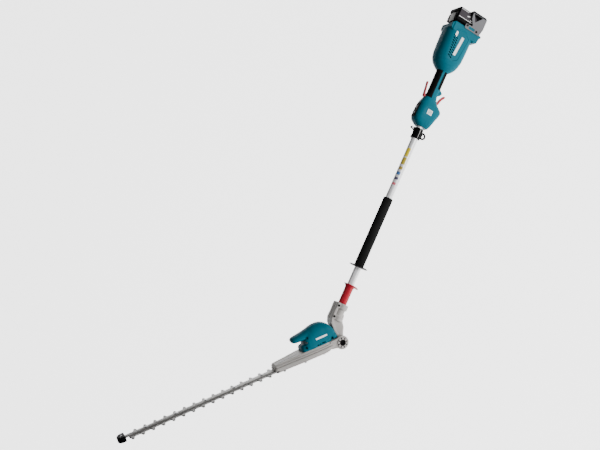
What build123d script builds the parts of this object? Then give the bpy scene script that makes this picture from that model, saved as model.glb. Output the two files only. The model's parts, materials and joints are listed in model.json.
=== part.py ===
"""Cordless pole hedge trimmer with a tilting double-sided blade head, in millimetres.

+X runs along the pole towards the battery, +Z is the tool's upper side and +Y its right side.
The origin lies on the pole's axis, in the middle of the bare stretch between the front grip
and the hanger. The head is drawn at its highest tilt.
"""

import os
from math import cos, radians, sin

from build123d import *

# pole and what is clamped on it
POLE_R = 12.7
POLE_WALL = 1.5
POLE_FRONT = -606
POLE_REAR = 196
BARE_FRONT = -124
BARE_REAR = 122
GRIP_FRONT = -399
GRIP_R = 18
FLANGE_R = 35
COLLAR_FRONT = -548
COLLAR_REAR = -474
COLLAR_R = 15.5
HANGER_LENGTH = 40
HANGER_R = 18.5
EYE_X = BARE_REAR + 21
EYE_Z = -25.5
EYE_HOLE_R = 6.5
HANGER_SCREWS = [(BARE_REAR + along, across) for along in (8, 32) for across in (-15.8, 15.8)]

# cast arm and the head's pivot
PIVOT_X = -676
PIVOT_Z = -45.5
TILT = 45
HUB_R = 25
ARM_HUB_R = 22
ARM_HALF = 20
CHEEK_OUT = 38
PIN_R = 6
BEND_X = -628
ARM_BOLTS = [(-560, 19), (-602, 19)]

# head, measured from the pivot along the blade
CASE_FRONT = 264
CASE_BOTTOM = -8.9
CASE_TOP = 22
CASE_NOSE = 17.5
CASE_HALF = 42
BASE_T = 2.3
CRANK_AT = 110
CRANK_R = 32
BLADE_T = 2.3
LAYER_GAP = 0.3
BAR_T = 3.0
BAR_BOTTOM = -3.4
BAR_REAR = 200
BLADE_REAR = 150
BLADE_FRONT = 807
BLADE_BODY = 21
TOOTH_TIP = 43
TOOTH_PITCH = 36.1
TOOTH_FIRST = 292
TEETH = 15
STROKE = 9
BOLT_FIRST = TOOTH_FIRST + TOOTH_PITCH / 2
BOLTS = 5
BASE_SCREWS = [(77, 30), (77, -30), (CRANK_AT + 42, 32), (CRANK_AT + 42, -32), (233, 25.8), (233, -25.8)]
COVER_SCREWS = [(30, 31), (119, 66), (132, 33)]
LEVER_PIVOT = (17, 42.5)
TIP_REAR = 818
TIP_FRONT = 846

# rear unit
WALL = 2.6
HANDLE_FRONT = 300
HANDLE_REAR = 398
HANDLE_Z = 7
HANDLE_H = 40
HANDLE_W = 36
GRIP_T = 2.4
SEAT_FRONT = 545
SEAT_REAR = 580
SEAT_HALF = 43
MOTOR_FRONT = 466
MOTOR_LENGTH = 38
MOTOR_Z = 11.5
BARREL_R = 55.5
BARREL_HALF = 46
SHAFT_R = 3
RUN = 0.05
BATTERY_FRONT = 581
BATTERY_REAR = 643
BATTERY_LOW = -53
BATTERY_HIGH = 60
BATTERY_HALF = 37.5
SPLIT = 622
BUTTON_X = 602
BUTTON_L = 33
CELL_R = 9.1
CELL_PITCH = 18.6
CELL_BAY = 5 * CELL_PITCH + 1
GUARD_REAR = 648
GUARD_SCREWS = [(586, 9), (582, -35)]
HOUSING_SCREWS = [(196, -26), (246, -36), (355, 14), (425, -22), (425, 44), (538, -30)]
STRIPE_EDGE = 4.5
VENTS = 6
VENT_FIRST = 446
VENT_PITCH = 15
PANEL_L = 56
PANEL_W = 30
PANEL_TOP = Plane(origin=(222, 0, 42), x_dir=(1, 0, -0.05), z_dir=(0.05, 0, 1))
BUTTON_R = 7
BUTTON_PLACES = [(-12, 0), (10, 0)]
TRIGGER_X = 278
TRIGGER_Z = -14
LOCK_X = 282
LOCK_Z = 26
MOTOR_AXIS = Axis((0, 0, MOTOR_Z), (1, 0, 0))

os.makedirs("parts", exist_ok=True)

FORWARD = Vector(-cos(radians(TILT)), 0, sin(radians(TILT)))
UP = Vector(sin(radians(TILT)), 0, cos(radians(TILT)))
PIVOT = Vector(PIVOT_X, 0, PIVOT_Z)
BEND = Vector(BEND_X, 0, 0)
HEAD = Plane(origin=PIVOT, x_dir=FORWARD, z_dir=UP)
HEAD_SIDE = Plane(origin=PIVOT, x_dir=FORWARD, z_dir=(0, 1, 0))
HEAD_FACING = Plane(origin=PIVOT, x_dir=(0, -1, 0), z_dir=FORWARD)
RELAY = (PIVOT - BEND).normalized()
RELAY_LENGTH = (PIVOT - BEND).length
RELAY_FACING = Plane(origin=BEND, x_dir=(0, 1, 0), z_dir=RELAY)
PIVOT_FACING = Plane(origin=PIVOT, x_dir=FORWARD, z_dir=(0, 1, 0))


def polar(radius, angle):
    """The point at a radius and an angle in degrees."""
    return (radius * cos(radians(angle)), radius * sin(radians(angle)))


def ring(plane, start, length, outer, inner):
    """A tube along the plane's normal, or a solid rod when inner is 0."""
    with BuildSketch(plane.offset(start)) as section:
        Circle(outer)
        if inner:
            Circle(inner, mode=Mode.SUBTRACT)
    extrude(section.sketch, amount=length)


def tooth_gaps(plane, start, length, radius, count, depth):
    """Cuts count square tooth gaps into a gear's rim."""
    gap = radius * 3.14 / count
    with BuildSketch(plane.offset(start)) as gaps:
        with PolarLocations(radius, count):
            Rectangle(2 * depth, gap)
    extrude(gaps.sketch, amount=length, mode=Mode.SUBTRACT)


def screw(plane, places, head_r, head_t, shank_r, length):
    """Screws that enter along the plane's negative normal, heads proud of the plane."""
    with BuildSketch(plane) as heads:
        with Locations(*places):
            Circle(head_r)
    extrude(heads.sketch, amount=head_t)
    with BuildSketch(plane) as shanks:
        with Locations(*places):
            Circle(shank_r)
    extrude(shanks.sketch, amount=-length)


# ---------------------------------------------------------------- pole
with BuildPart() as pole_tube:
    ring(Plane.YZ, POLE_FRONT, POLE_REAR - POLE_FRONT, POLE_R, POLE_R - POLE_WALL)

with BuildPart() as shaft_bushes:
    for middle in (-500, -160, 180):
        ring(Plane.YZ, middle - 10, 20, POLE_R - POLE_WALL, SHAFT_R + RUN)

with BuildPart() as foam_grip:
    ring(Plane.YZ, GRIP_FRONT, BARE_FRONT - GRIP_FRONT, GRIP_R, POLE_R)
    rims = foam_grip.edges().filter_by(GeomType.CIRCLE).filter_by(lambda e: e.radius > POLE_R + 1)
    fillet(rims, 2.5)

with BuildPart() as grip_flange:
    ring(Plane.YZ, GRIP_FRONT - 3, 3, FLANGE_R, POLE_R)

with BuildPart() as shaft_collar:
    ring(Plane.YZ, COLLAR_FRONT, COLLAR_REAR - COLLAR_FRONT - 4, COLLAR_R, POLE_R)
    with BuildSketch(Plane.YZ.offset(COLLAR_REAR - 4)):
        with Locations((0, -4)):
            Ellipse(24, 29)
        Circle(POLE_R, mode=Mode.SUBTRACT)
    extrude(amount=4)

# ---------------------------------------------------------------- hanger
with BuildPart() as hanger_upper:
    ring(Plane.YZ, BARE_REAR, HANGER_LENGTH, HANGER_R, POLE_R)
    with BuildSketch(Plane.XZ):
        with BuildLine():
            Polyline(
                (BARE_REAR + 22, 14),
                (BARE_REAR + 38, 14),
                (BARE_REAR + 38, 33),
                (BARE_REAR + 31, 35),
                (BARE_REAR + 28, 21),
                close=True,
            )
        make_face()
    extrude(amount=6, both=True)
    split(bisect_by=Plane.XY.offset(0.5), keep=Keep.TOP)
    with BuildSketch(Plane.XY):
        with Locations(*HANGER_SCREWS):
            Circle(1.5)
    extrude(amount=6, mode=Mode.SUBTRACT)

with BuildPart() as hanger_lower:
    ring(Plane.YZ, BARE_REAR, HANGER_LENGTH, HANGER_R, 0)
    with BuildSketch(Plane.XZ):
        with Locations((EYE_X, EYE_Z)):
            Circle(EYE_HOLE_R + 5.5)
    extrude(amount=3, both=True)
    with BuildSketch(Plane.XZ):
        with Locations((EYE_X, EYE_Z)):
            Circle(EYE_HOLE_R)
    extrude(amount=3.1, both=True, mode=Mode.SUBTRACT)
    with BuildSketch(Plane.YZ.offset(BARE_REAR)):
        Circle(POLE_R)
    extrude(amount=HANGER_LENGTH, mode=Mode.SUBTRACT)
    split(bisect_by=Plane.XY.offset(-0.5), keep=Keep.BOTTOM)
    with BuildSketch(Plane.XY.offset(-7)):
        with Locations(*HANGER_SCREWS):
            Circle(2.7)
    extrude(amount=-12, mode=Mode.SUBTRACT)
    with BuildSketch(Plane.XY):
        with Locations(*HANGER_SCREWS):
            Circle(1.5)
    extrude(amount=-8, mode=Mode.SUBTRACT)

with BuildPart() as hanger_screws:
    screw(Plane.XY.offset(-7), HANGER_SCREWS, 2.6, -2, 1.5, -13)

# ---------------------------------------------------------------- cast arm
with BuildPart() as arm_housing:
    with BuildSketch(Plane.XZ):
        with BuildLine():
            Polyline(
                (COLLAR_FRONT - 30, 24),
                (-615, 24),
                (-636, 11),
                (-655, -18),
                (PIVOT_X, PIVOT_Z),
                (-656, -55),
                (-640, -44),
                (-622, -39),
                (-604, -24),
                (COLLAR_FRONT - 30, -24),
                close=True,
            )
        make_face()
    extrude(amount=ARM_HALF, both=True)
    ring(Plane.YZ, -613, COLLAR_FRONT + 613, 26, 0)
    with BuildSketch(PIVOT_FACING):
        Circle(ARM_HUB_R)
    extrude(amount=ARM_HALF, both=True)
    with BuildSketch(Plane.YZ.offset(-613)):
        with Locations((0, 22)):
            Rectangle(2 * 23, 8)
    extrude(amount=COLLAR_FRONT + 613)
    with BuildSketch(Plane.YZ.offset(POLE_FRONT)):
        Circle(POLE_R)
    extrude(amount=COLLAR_FRONT - POLE_FRONT, mode=Mode.SUBTRACT)
    with BuildSketch(Plane.YZ.offset(BEND_X - 3)):
        Circle(11.5)
    extrude(amount=POLE_FRONT - BEND_X + 3, mode=Mode.SUBTRACT)
    with BuildSketch(RELAY_FACING.offset(-2)):
        Circle(12.1)
    extrude(amount=RELAY_LENGTH - 9, mode=Mode.SUBTRACT)
    with BuildSketch(PIVOT_FACING.offset(-10)):
        Circle(18)
    extrude(amount=25.5, mode=Mode.SUBTRACT)
    with BuildSketch(PIVOT_FACING):
        Circle(PIN_R + RUN)
    extrude(amount=ARM_HALF, both=True, mode=Mode.SUBTRACT)
    with BuildSketch(PIVOT_FACING.offset(-9.5)):
        with BuildLine():
            Polyline(
                (0, 0),
                polar(HUB_R + 2, 30),
                polar(1.6 * HUB_R, -20),
                polar(1.6 * HUB_R, -90),
                polar(HUB_R + 2, -146),
                close=True,
            )
        make_face()
    extrude(amount=19, mode=Mode.SUBTRACT)
    with BuildSketch(Plane.XY.offset(POLE_R - 1)):
        with Locations((COLLAR_FRONT - 33, 0)):
            Rectangle(66, 2)
    extrude(amount=16, mode=Mode.SUBTRACT)
    with BuildSketch(Plane.XZ):
        with Locations(*ARM_BOLTS):
            Circle(2.5)
    extrude(amount=30, both=True, mode=Mode.SUBTRACT)

with BuildPart() as arm_bolts:
    screw(Plane.XZ.offset(23), ARM_BOLTS, 4.2, 3.5, 2.5, 44)

# ---------------------------------------------------------------- drive line
with BuildPart() as drive_shaft:
    ring(Plane.YZ, BEND_X + 10, MOTOR_FRONT + MOTOR_LENGTH + 34 - BEND_X - 10, SHAFT_R, 0)

with BuildPart() as drive_bevel:
    ring(Plane.YZ, BEND_X + 4.5, 5.5, 10, 0)
    tooth_gaps(Plane.YZ, BEND_X + 4.5, 5.5, 10, 14, 1.4)

with BuildPart() as relay_shaft:
    ring(RELAY_FACING, 4.5, 5.5, 10, 0)
    tooth_gaps(RELAY_FACING, 4.5, 5.5, 10, 14, 1.4)
    ring(RELAY_FACING, 10, RELAY_LENGTH - 27, 4, 0)
    ring(RELAY_FACING, RELAY_LENGTH - 17, 6, 7.6, 0)
    tooth_gaps(RELAY_FACING, RELAY_LENGTH - 17, 6, 7.6, 11, 1.2)

with BuildPart() as pivot_gear:
    ring(PIVOT_FACING, 8, 6, 17, PIN_R + RUN)
    tooth_gaps(PIVOT_FACING, 8, 6, 17, 22, 1.4)

with BuildPart() as rotor:
    ring(Plane.YZ, MOTOR_FRONT, MOTOR_LENGTH, 14, SHAFT_R)

with BuildPart() as cooling_fan:
    ring(Plane.YZ, MOTOR_FRONT + MOTOR_LENGTH + 7, 3, 29, SHAFT_R)
    ring(Plane.YZ, MOTOR_FRONT + MOTOR_LENGTH + 7, 10, 7, SHAFT_R)
    with BuildSketch(Plane.YZ.offset(MOTOR_FRONT + MOTOR_LENGTH + 10)):
        with PolarLocations(18, 12):
            Rectangle(21, 1.4)
    extrude(amount=6)

with BuildPart() as motor_stator:
    ring(Plane.YZ, MOTOR_FRONT, MOTOR_LENGTH, 27, 14.5)
    with BuildSketch(Plane.YZ.offset(MOTOR_FRONT)):
        with PolarLocations(19, 12):
            Rectangle(7, 2.2)
    extrude(amount=MOTOR_LENGTH, mode=Mode.SUBTRACT)

with BuildPart() as motor_bearings:
    for start in (MOTOR_FRONT - 14, MOTOR_FRONT + MOTOR_LENGTH + 25):
        ring(Plane.YZ, start, 6, 9, SHAFT_R + RUN)

# ---------------------------------------------------------------- head gear case
with BuildPart() as gear_case:
    with BuildSketch(HEAD.offset(CASE_BOTTOM)):
        with BuildLine():
            Polyline((24.5, 38), (60, CASE_HALF), (150, 38), (215, 30), (CASE_FRONT, 27))
            Line((CASE_FRONT, 27), (CASE_FRONT, -27))
            Polyline((CASE_FRONT, -27), (215, -30), (150, -38), (60, -CASE_HALF), (24.5, -38))
            Line((24.5, -38), (24.5, 38))
        make_face()
    extrude(amount=CASE_TOP - CASE_BOTTOM)
    with BuildSketch(HEAD_SIDE):
        with BuildLine():
            Polyline(
                (0, -HUB_R + 4),
                (30, -10),
                (60, CASE_BOTTOM),
                (CASE_FRONT, CASE_BOTTOM),
                (CASE_FRONT, CASE_NOSE),
                (150, CASE_TOP),
                (40, CASE_TOP),
                (0, HUB_R - 3),
                close=True,
            )
        make_face()
    extrude(amount=60, both=True, mode=Mode.INTERSECT)
    for side in (1, -1):
        with BuildSketch(HEAD_SIDE.offset(side * (ARM_HALF + 0.5))):
            Circle(HUB_R)
            with BuildLine():
                Polyline((0, -21), (30, -10), (42, -8), (42, 20), (0, 21), close=True)
            make_face()
        extrude(amount=side * (CHEEK_OUT - ARM_HALF - 0.5))
    with BuildSketch(HEAD_SIDE.offset(-ARM_HALF - 0.5)):
        Circle(HUB_R + 1.5)
    extrude(amount=2 * ARM_HALF + 1, mode=Mode.SUBTRACT)
    with BuildSketch(HEAD_SIDE):
        Circle(PIN_R)
    extrude(amount=CHEEK_OUT, both=True, mode=Mode.SUBTRACT)
    with BuildSketch(HEAD.offset(BAR_BOTTOM)):
        with Locations((CRANK_AT, 0)):
            Circle(CRANK_R + 2)
    extrude(amount=CASE_TOP - BAR_BOTTOM - 4, mode=Mode.SUBTRACT)
    with BuildSketch(HEAD_FACING.offset(20)):
        Circle(5.5)
    extrude(amount=70, mode=Mode.SUBTRACT)
    with BuildSketch(HEAD.offset(CASE_BOTTOM)):
        with Locations(((CASE_FRONT + CRANK_AT - 38) / 2, 0)):
            Rectangle(CASE_FRONT - CRANK_AT + 38, 2 * (BLADE_BODY + 1.5))
    extrude(amount=BAR_BOTTOM - CASE_BOTTOM, mode=Mode.SUBTRACT)
    with BuildSketch(HEAD.offset(CASE_BOTTOM)):
        with Locations((CASE_FRONT, 0)):
            Rectangle(2 * STROKE + 4, 2 * CASE_HALF)
    extrude(amount=BAR_BOTTOM - CASE_BOTTOM, mode=Mode.SUBTRACT)
    with BuildSketch(HEAD.offset(BAR_BOTTOM)):
        with Locations(((CASE_FRONT + BAR_REAR) / 2, 0)):
            Rectangle(CASE_FRONT - BAR_REAR, 26)
    extrude(amount=BAR_T, mode=Mode.SUBTRACT)
    with BuildSketch(HEAD.offset(CASE_BOTTOM)):
        with Locations(*BASE_SCREWS):
            Circle(2)
    extrude(amount=12, mode=Mode.SUBTRACT)

with BuildPart() as gear_case_base:
    with BuildSketch(HEAD.offset(CASE_BOTTOM - BASE_T)):
        with BuildLine():
            Polyline((62, 40), (150, 36), (215, 29), (CASE_FRONT - 2, 26))
            Line((CASE_FRONT - 2, 26), (CASE_FRONT - 2, -26))
            Polyline((CASE_FRONT - 2, -26), (215, -29), (150, -36), (62, -40))
            Line((62, -40), (62, 40))
        make_face()
        with Locations(*BASE_SCREWS):
            Circle(2, mode=Mode.SUBTRACT)
    extrude(amount=BASE_T)

with BuildPart() as base_screws:
    screw(HEAD.offset(CASE_BOTTOM - BASE_T), BASE_SCREWS, 4, -3.2, 2, -13)

with BuildPart() as pivot_pin:
    with BuildSketch(PIVOT_FACING):
        Circle(PIN_R)
    extrude(amount=CHEEK_OUT, both=True)

with BuildPart() as hub_ring:
    ring(PIVOT_FACING, -CHEEK_OUT, -3.5, 17, 9)
    with BuildSketch(PIVOT_FACING.offset(-CHEEK_OUT - 2)):
        with PolarLocations(13, 8):
            Rectangle(9, 4)
    extrude(amount=-1.5, mode=Mode.SUBTRACT)

with BuildPart() as hub_caps:
    ring(PIVOT_FACING, -CHEEK_OUT, -3, 9, 0)
    ring(PIVOT_FACING, CHEEK_OUT, 3, 12, 0)

with BuildPart() as head_pinion:
    ring(HEAD_FACING, 11, 6, 7.6, 0)
    tooth_gaps(HEAD_FACING, 11, 6, 7.6, 11, 1.2)
    ring(HEAD_FACING, 17, 60, 4, 0)
    ring(HEAD_FACING, 77, 7, 5.2, 0)
    tooth_gaps(HEAD_FACING, 77, 7, 5.2, 8, 0.9)

with BuildPart() as crank_axle:
    with BuildSketch(HEAD.offset(BAR_BOTTOM + 0.4)):
        with Locations((CRANK_AT, 0)):
            Circle(5)
    extrude(amount=CASE_TOP - 4 - BAR_BOTTOM - 0.4)

with BuildPart() as crank_gear:
    with BuildSketch(HEAD.offset(6)):
        with Locations((CRANK_AT, 0)):
            Circle(CRANK_R)
            with PolarLocations(CRANK_R, 36):
                Rectangle(3, 2.6, mode=Mode.SUBTRACT)
    extrude(amount=8)
    with BuildSketch(HEAD.offset(BAR_BOTTOM + 0.4)):
        with Locations((CRANK_AT + STROKE, 0)):
            Circle(9)
    extrude(amount=6 - BAR_BOTTOM)
    with BuildSketch(HEAD.offset(BAR_BOTTOM)):
        with Locations((CRANK_AT, 0)):
            Circle(5 + RUN)
    extrude(amount=30, mode=Mode.SUBTRACT)

# ---------------------------------------------------------------- blades
BOLT_PLACES = [(BOLT_FIRST + 3 * TOOTH_PITCH * step, 0) for step in range(BOLTS)]
UPPER_BOTTOM = BAR_BOTTOM - LAYER_GAP - BLADE_T
LOWER_BOTTOM = UPPER_BOTTOM - LAYER_GAP - BLADE_T


def blade(height):
    """A double-sided blade: a slotted body with half a pitch between its two rows of teeth."""
    with BuildSketch(HEAD.offset(height)) as outline:
        with Locations(((240 + BLADE_FRONT) / 2, 0)):
            Rectangle(BLADE_FRONT - 240, 2 * BLADE_BODY)
        with Locations(((240 + BLADE_REAR) / 2, 0)):
            Rectangle(240 - BLADE_REAR, 28)
        for side, start in ((1, TOOTH_FIRST), (-1, TOOTH_FIRST - TOOTH_PITCH / 2)):
            for step in range(TEETH):
                tip = start + TOOTH_PITCH * step
                with BuildLine():
                    Polyline(
                        (tip - 9, side * (BLADE_BODY - 1)),
                        (tip - 4, side * TOOTH_TIP),
                        (tip + 4, side * TOOTH_TIP),
                        (tip + 9, side * (BLADE_BODY - 1)),
                        close=True,
                    )
                make_face()
        with Locations(*BOLT_PLACES):
            SlotOverall(2 * STROKE + 8, 7.6, mode=Mode.SUBTRACT)
    extrude(outline.sketch, amount=BLADE_T)


def rod(height):
    """The strap that joins a blade's tail to its crank eye."""
    with BuildSketch(HEAD.offset(height)) as outline:
        with Locations((CRANK_AT, 0)):
            Circle(14)
        with Locations(((CRANK_AT + BLADE_REAR) / 2, 0)):
            Rectangle(BLADE_REAR - CRANK_AT, 16)
        with Locations((CRANK_AT, 0)):
            Circle(9, mode=Mode.SUBTRACT)
    extrude(outline.sketch, amount=BLADE_T)


with BuildPart() as upper_blade:
    blade(UPPER_BOTTOM)

with BuildPart() as lower_blade:
    blade(LOWER_BOTTOM)

with BuildPart() as upper_rod:
    rod(UPPER_BOTTOM)

with BuildPart() as lower_rod:
    rod(LOWER_BOTTOM)

with BuildPart() as guide_bar:
    with BuildSketch(HEAD.offset(BAR_BOTTOM)):
        with Locations(((202 + TIP_FRONT - 6) / 2, 0)):
            Rectangle(TIP_FRONT - 6 - 202, 26)
        with Locations(*BOLT_PLACES):
            Circle(3, mode=Mode.SUBTRACT)
    extrude(amount=BAR_T)

with BuildPart() as blade_bolts:
    with BuildSketch(HEAD.offset(BAR_BOTTOM + BAR_T)):
        with Locations(*BOLT_PLACES):
            Circle(5.5)
    extrude(amount=2.6)
    with BuildSketch(HEAD.offset(LOWER_BOTTOM - LAYER_GAP)):
        with Locations(*BOLT_PLACES):
            Circle(3)
    extrude(amount=BAR_BOTTOM + BAR_T - LOWER_BOTTOM + LAYER_GAP)
    with BuildSketch(HEAD.offset(LOWER_BOTTOM - LAYER_GAP)):
        with Locations(*BOLT_PLACES):
            RegularPolygon(6, 6)
    extrude(amount=-3.5)

with BuildPart() as tip_guard:
    with BuildSketch(HEAD.offset(-12)):
        with Locations(((TIP_REAR + TIP_FRONT) / 2, 0)):
            RectangleRounded(TIP_FRONT - TIP_REAR, 50, 8)
    extrude(amount=19)
    with BuildSketch(HEAD.offset(BAR_BOTTOM)):
        with Locations(((TIP_REAR + TIP_FRONT) / 2 - 6, 0)):
            Rectangle(TIP_FRONT - TIP_REAR, 26)
    extrude(amount=BAR_T, mode=Mode.SUBTRACT)

# ---------------------------------------------------------------- head cover
with BuildPart() as cover_body:
    with BuildSketch(HEAD_SIDE):
        with BuildLine():
            rear = Polyline((30, CASE_TOP + 0.2), (18, 34), (12, 46), (17, 66))
            crown = Spline(rear @ 1, (50, 96), (90, 95), (120, 87), tangents=((0.3, 1), (1, -0.35)))
            top = Line(crown @ 1, (160, 84))
            nose = ThreePointArc(top @ 1, (172, 72), (160, 58))
            notch = Polyline(nose @ 1, (130, 55), (122, 50), (128, 44), (141, 43))
            under = Polyline(notch @ 1, (147, 34), (141, CASE_TOP + 0.2))
            Line(under @ 1, rear @ 0)
        make_face()
    extrude(amount=38, both=True)
    with BuildSketch(HEAD_FACING):
        with BuildLine():
            side_a = Line((-38, CASE_TOP), (-38, 52))
            roof = Spline(side_a @ 1, (-22, 86), (0, 98), (22, 86), (38, 52), tangents=((0, 1), (0, -1)))
            side_b = Line(roof @ 1, (38, CASE_TOP))
            Line(side_b @ 1, side_a @ 0)
        make_face()
    extrude(amount=200, mode=Mode.INTERSECT)
    with BuildSketch(HEAD_SIDE):
        with BuildLine():
            Polyline((36, CASE_TOP), (26, 46), (40, 80), (90, 84), (114, 76), (114, CASE_TOP), close=True)
        make_face()
    extrude(amount=32, both=True, mode=Mode.SUBTRACT)
    with BuildSketch(HEAD_SIDE):
        with Locations((13, 44)):
            Rectangle(22, 22)
    extrude(amount=10, both=True, mode=Mode.SUBTRACT)
    with BuildSketch(HEAD_SIDE):
        with Locations(LEVER_PIVOT):
            Circle(2)
    extrude(amount=16, both=True, mode=Mode.SUBTRACT)
    with BuildSketch(HEAD_SIDE):
        with Locations(*COVER_SCREWS):
            Circle(2)
    extrude(amount=24, both=True, mode=Mode.SUBTRACT)

with BuildPart() as cover_left:
    add(cover_body.part)
    split(bisect_by=Plane.XZ, keep=Keep.TOP)
    with BuildSketch(HEAD_SIDE.offset(-24)):
        with Locations(*COVER_SCREWS):
            Circle(4.5)
    extrude(amount=-20, mode=Mode.SUBTRACT)

with BuildPart() as cover_right:
    add(cover_body.part)
    split(bisect_by=Plane.XZ, keep=Keep.BOTTOM)

with BuildPart() as cover_screws:
    screw(HEAD_SIDE.offset(-24), COVER_SCREWS, 4, -3, 2, -46)

with BuildPart() as tilt_lever:
    with BuildSketch(HEAD_SIDE):
        with BuildLine():
            Polyline((11.5, 40), (17, 37), (21, 45), (16, 50), (9.5, 48.5), close=True)
        make_face()
        with Locations(LEVER_PIVOT):
            Circle(2 + RUN, mode=Mode.SUBTRACT)
    extrude(amount=9, both=True)

with BuildPart() as tilt_lever_pin:
    with BuildSketch(HEAD_SIDE):
        with Locations(LEVER_PIVOT):
            Circle(2)
    extrude(amount=16, both=True)

# ---------------------------------------------------------------- rear unit: moulded body
def lobe_side(inset):
    """Side outline of the control housing."""
    with BuildSketch(Plane.XZ) as outline:
        with BuildLine():
            crown = Polyline((169, 20), (182, 40), (200, 45), (248, 43))
            top = Polyline(crown @ 1, (290, 29), (310, HANDLE_Z + HANDLE_H / 2))
            end = Line(top @ 1, (310, HANDLE_Z - HANDLE_H / 2))
            throat = ThreePointArc(end @ 1, (283, -14), (272, -25))
            chin = Polyline(throat @ 1, (258, -41), (247, -50), (183, -33), (172, -24))
            Line(chin @ 1, crown @ 0)
        make_face()
        offset(amount=-inset, kind=Kind.INTERSECTION, mode=Mode.REPLACE)
    return outline.sketch


def lobe_top(inset):
    """Outline of the control housing seen from above."""
    with BuildSketch(Plane.XY) as outline:
        with BuildLine():
            near = Polyline((169, -20), (188, -30), (215, -33), (245, -32), (276, -22), (310, -18))
            Line(near @ 1, (310, 18))
            far = Polyline((310, 18), (276, 22), (245, 32), (215, 33), (188, 30), (169, 20))
            Line(far @ 1, near @ 0)
        make_face()
        offset(amount=-inset, kind=Kind.INTERSECTION, mode=Mode.REPLACE)
    return outline.sketch


def lobe_end(inset):
    """Rounded outline of the control housing seen along the pole."""
    with BuildSketch(Plane.YZ) as outline:
        with Locations((0, -2.5)):
            RectangleRounded(66 - 2 * inset, 96 - 2 * inset, 22 - inset)
    return outline.sketch


def barrel_half(inset):
    """Half outline of the motor housing, turned about its own axis."""
    start = HANDLE_REAR - 4 + inset
    stop = SEAT_FRONT + 15 - inset
    with BuildSketch(Plane.XZ) as outline:
        with BuildLine():
            shoulder = ThreePointArc(
                (start, MOTOR_Z + 17 - inset / 2),
                (410 + inset, MOTOR_Z + 40 - inset / 2),
                (446, MOTOR_Z + 53 - inset),
            )
            far = Line(shoulder @ 1, (stop, MOTOR_Z + BARREL_R - inset))
            Polyline(far @ 1, (stop, MOTOR_Z), (start, MOTOR_Z), shoulder @ 0)
        make_face()
    return outline.sketch


with BuildPart() as body_cavity:
    extrude(lobe_side(WALL), amount=60, both=True)
    extrude(lobe_top(WALL), amount=100, both=True, mode=Mode.INTERSECT)
    extrude(lobe_end(WALL), amount=400, mode=Mode.INTERSECT)
    revolve(barrel_half(WALL), axis=MOTOR_AXIS)
    with BuildSketch(Plane.XZ):
        Rectangle(2000, 400)
    extrude(amount=BARREL_HALF - WALL, both=True, mode=Mode.INTERSECT)
    with BuildSketch(Plane.YZ.offset(HANDLE_FRONT - 5)):
        with Locations((0, HANDLE_Z)):
            RectangleRounded(HANDLE_W - 11, HANDLE_H - 11, 8)
    extrude(amount=HANDLE_REAR - HANDLE_FRONT + 14)
    with BuildSketch(Plane.YZ.offset(SEAT_FRONT + 5)):
        with Locations((0, 8)):
            Rectangle(2 * SEAT_HALF - 2 * WALL, 94)
    extrude(amount=SEAT_REAR - SEAT_FRONT - 9)
    for start in (MOTOR_FRONT - 14, MOTOR_FRONT + 6, MOTOR_FRONT + MOTOR_LENGTH + 25):
        with BuildSketch(Plane.YZ.offset(start)):
            Rectangle(2 * SEAT_HALF + 40, 200)
        extrude(amount=4, mode=Mode.SUBTRACT)
    with BuildSketch(Plane.YZ.offset(178)):
        Rectangle(100, 120)
    extrude(amount=10, mode=Mode.SUBTRACT)
    with BuildSketch(Plane.XZ):
        with Locations(*HOUSING_SCREWS):
            Circle(4.5)
    extrude(amount=60, both=True, mode=Mode.SUBTRACT)

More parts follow.
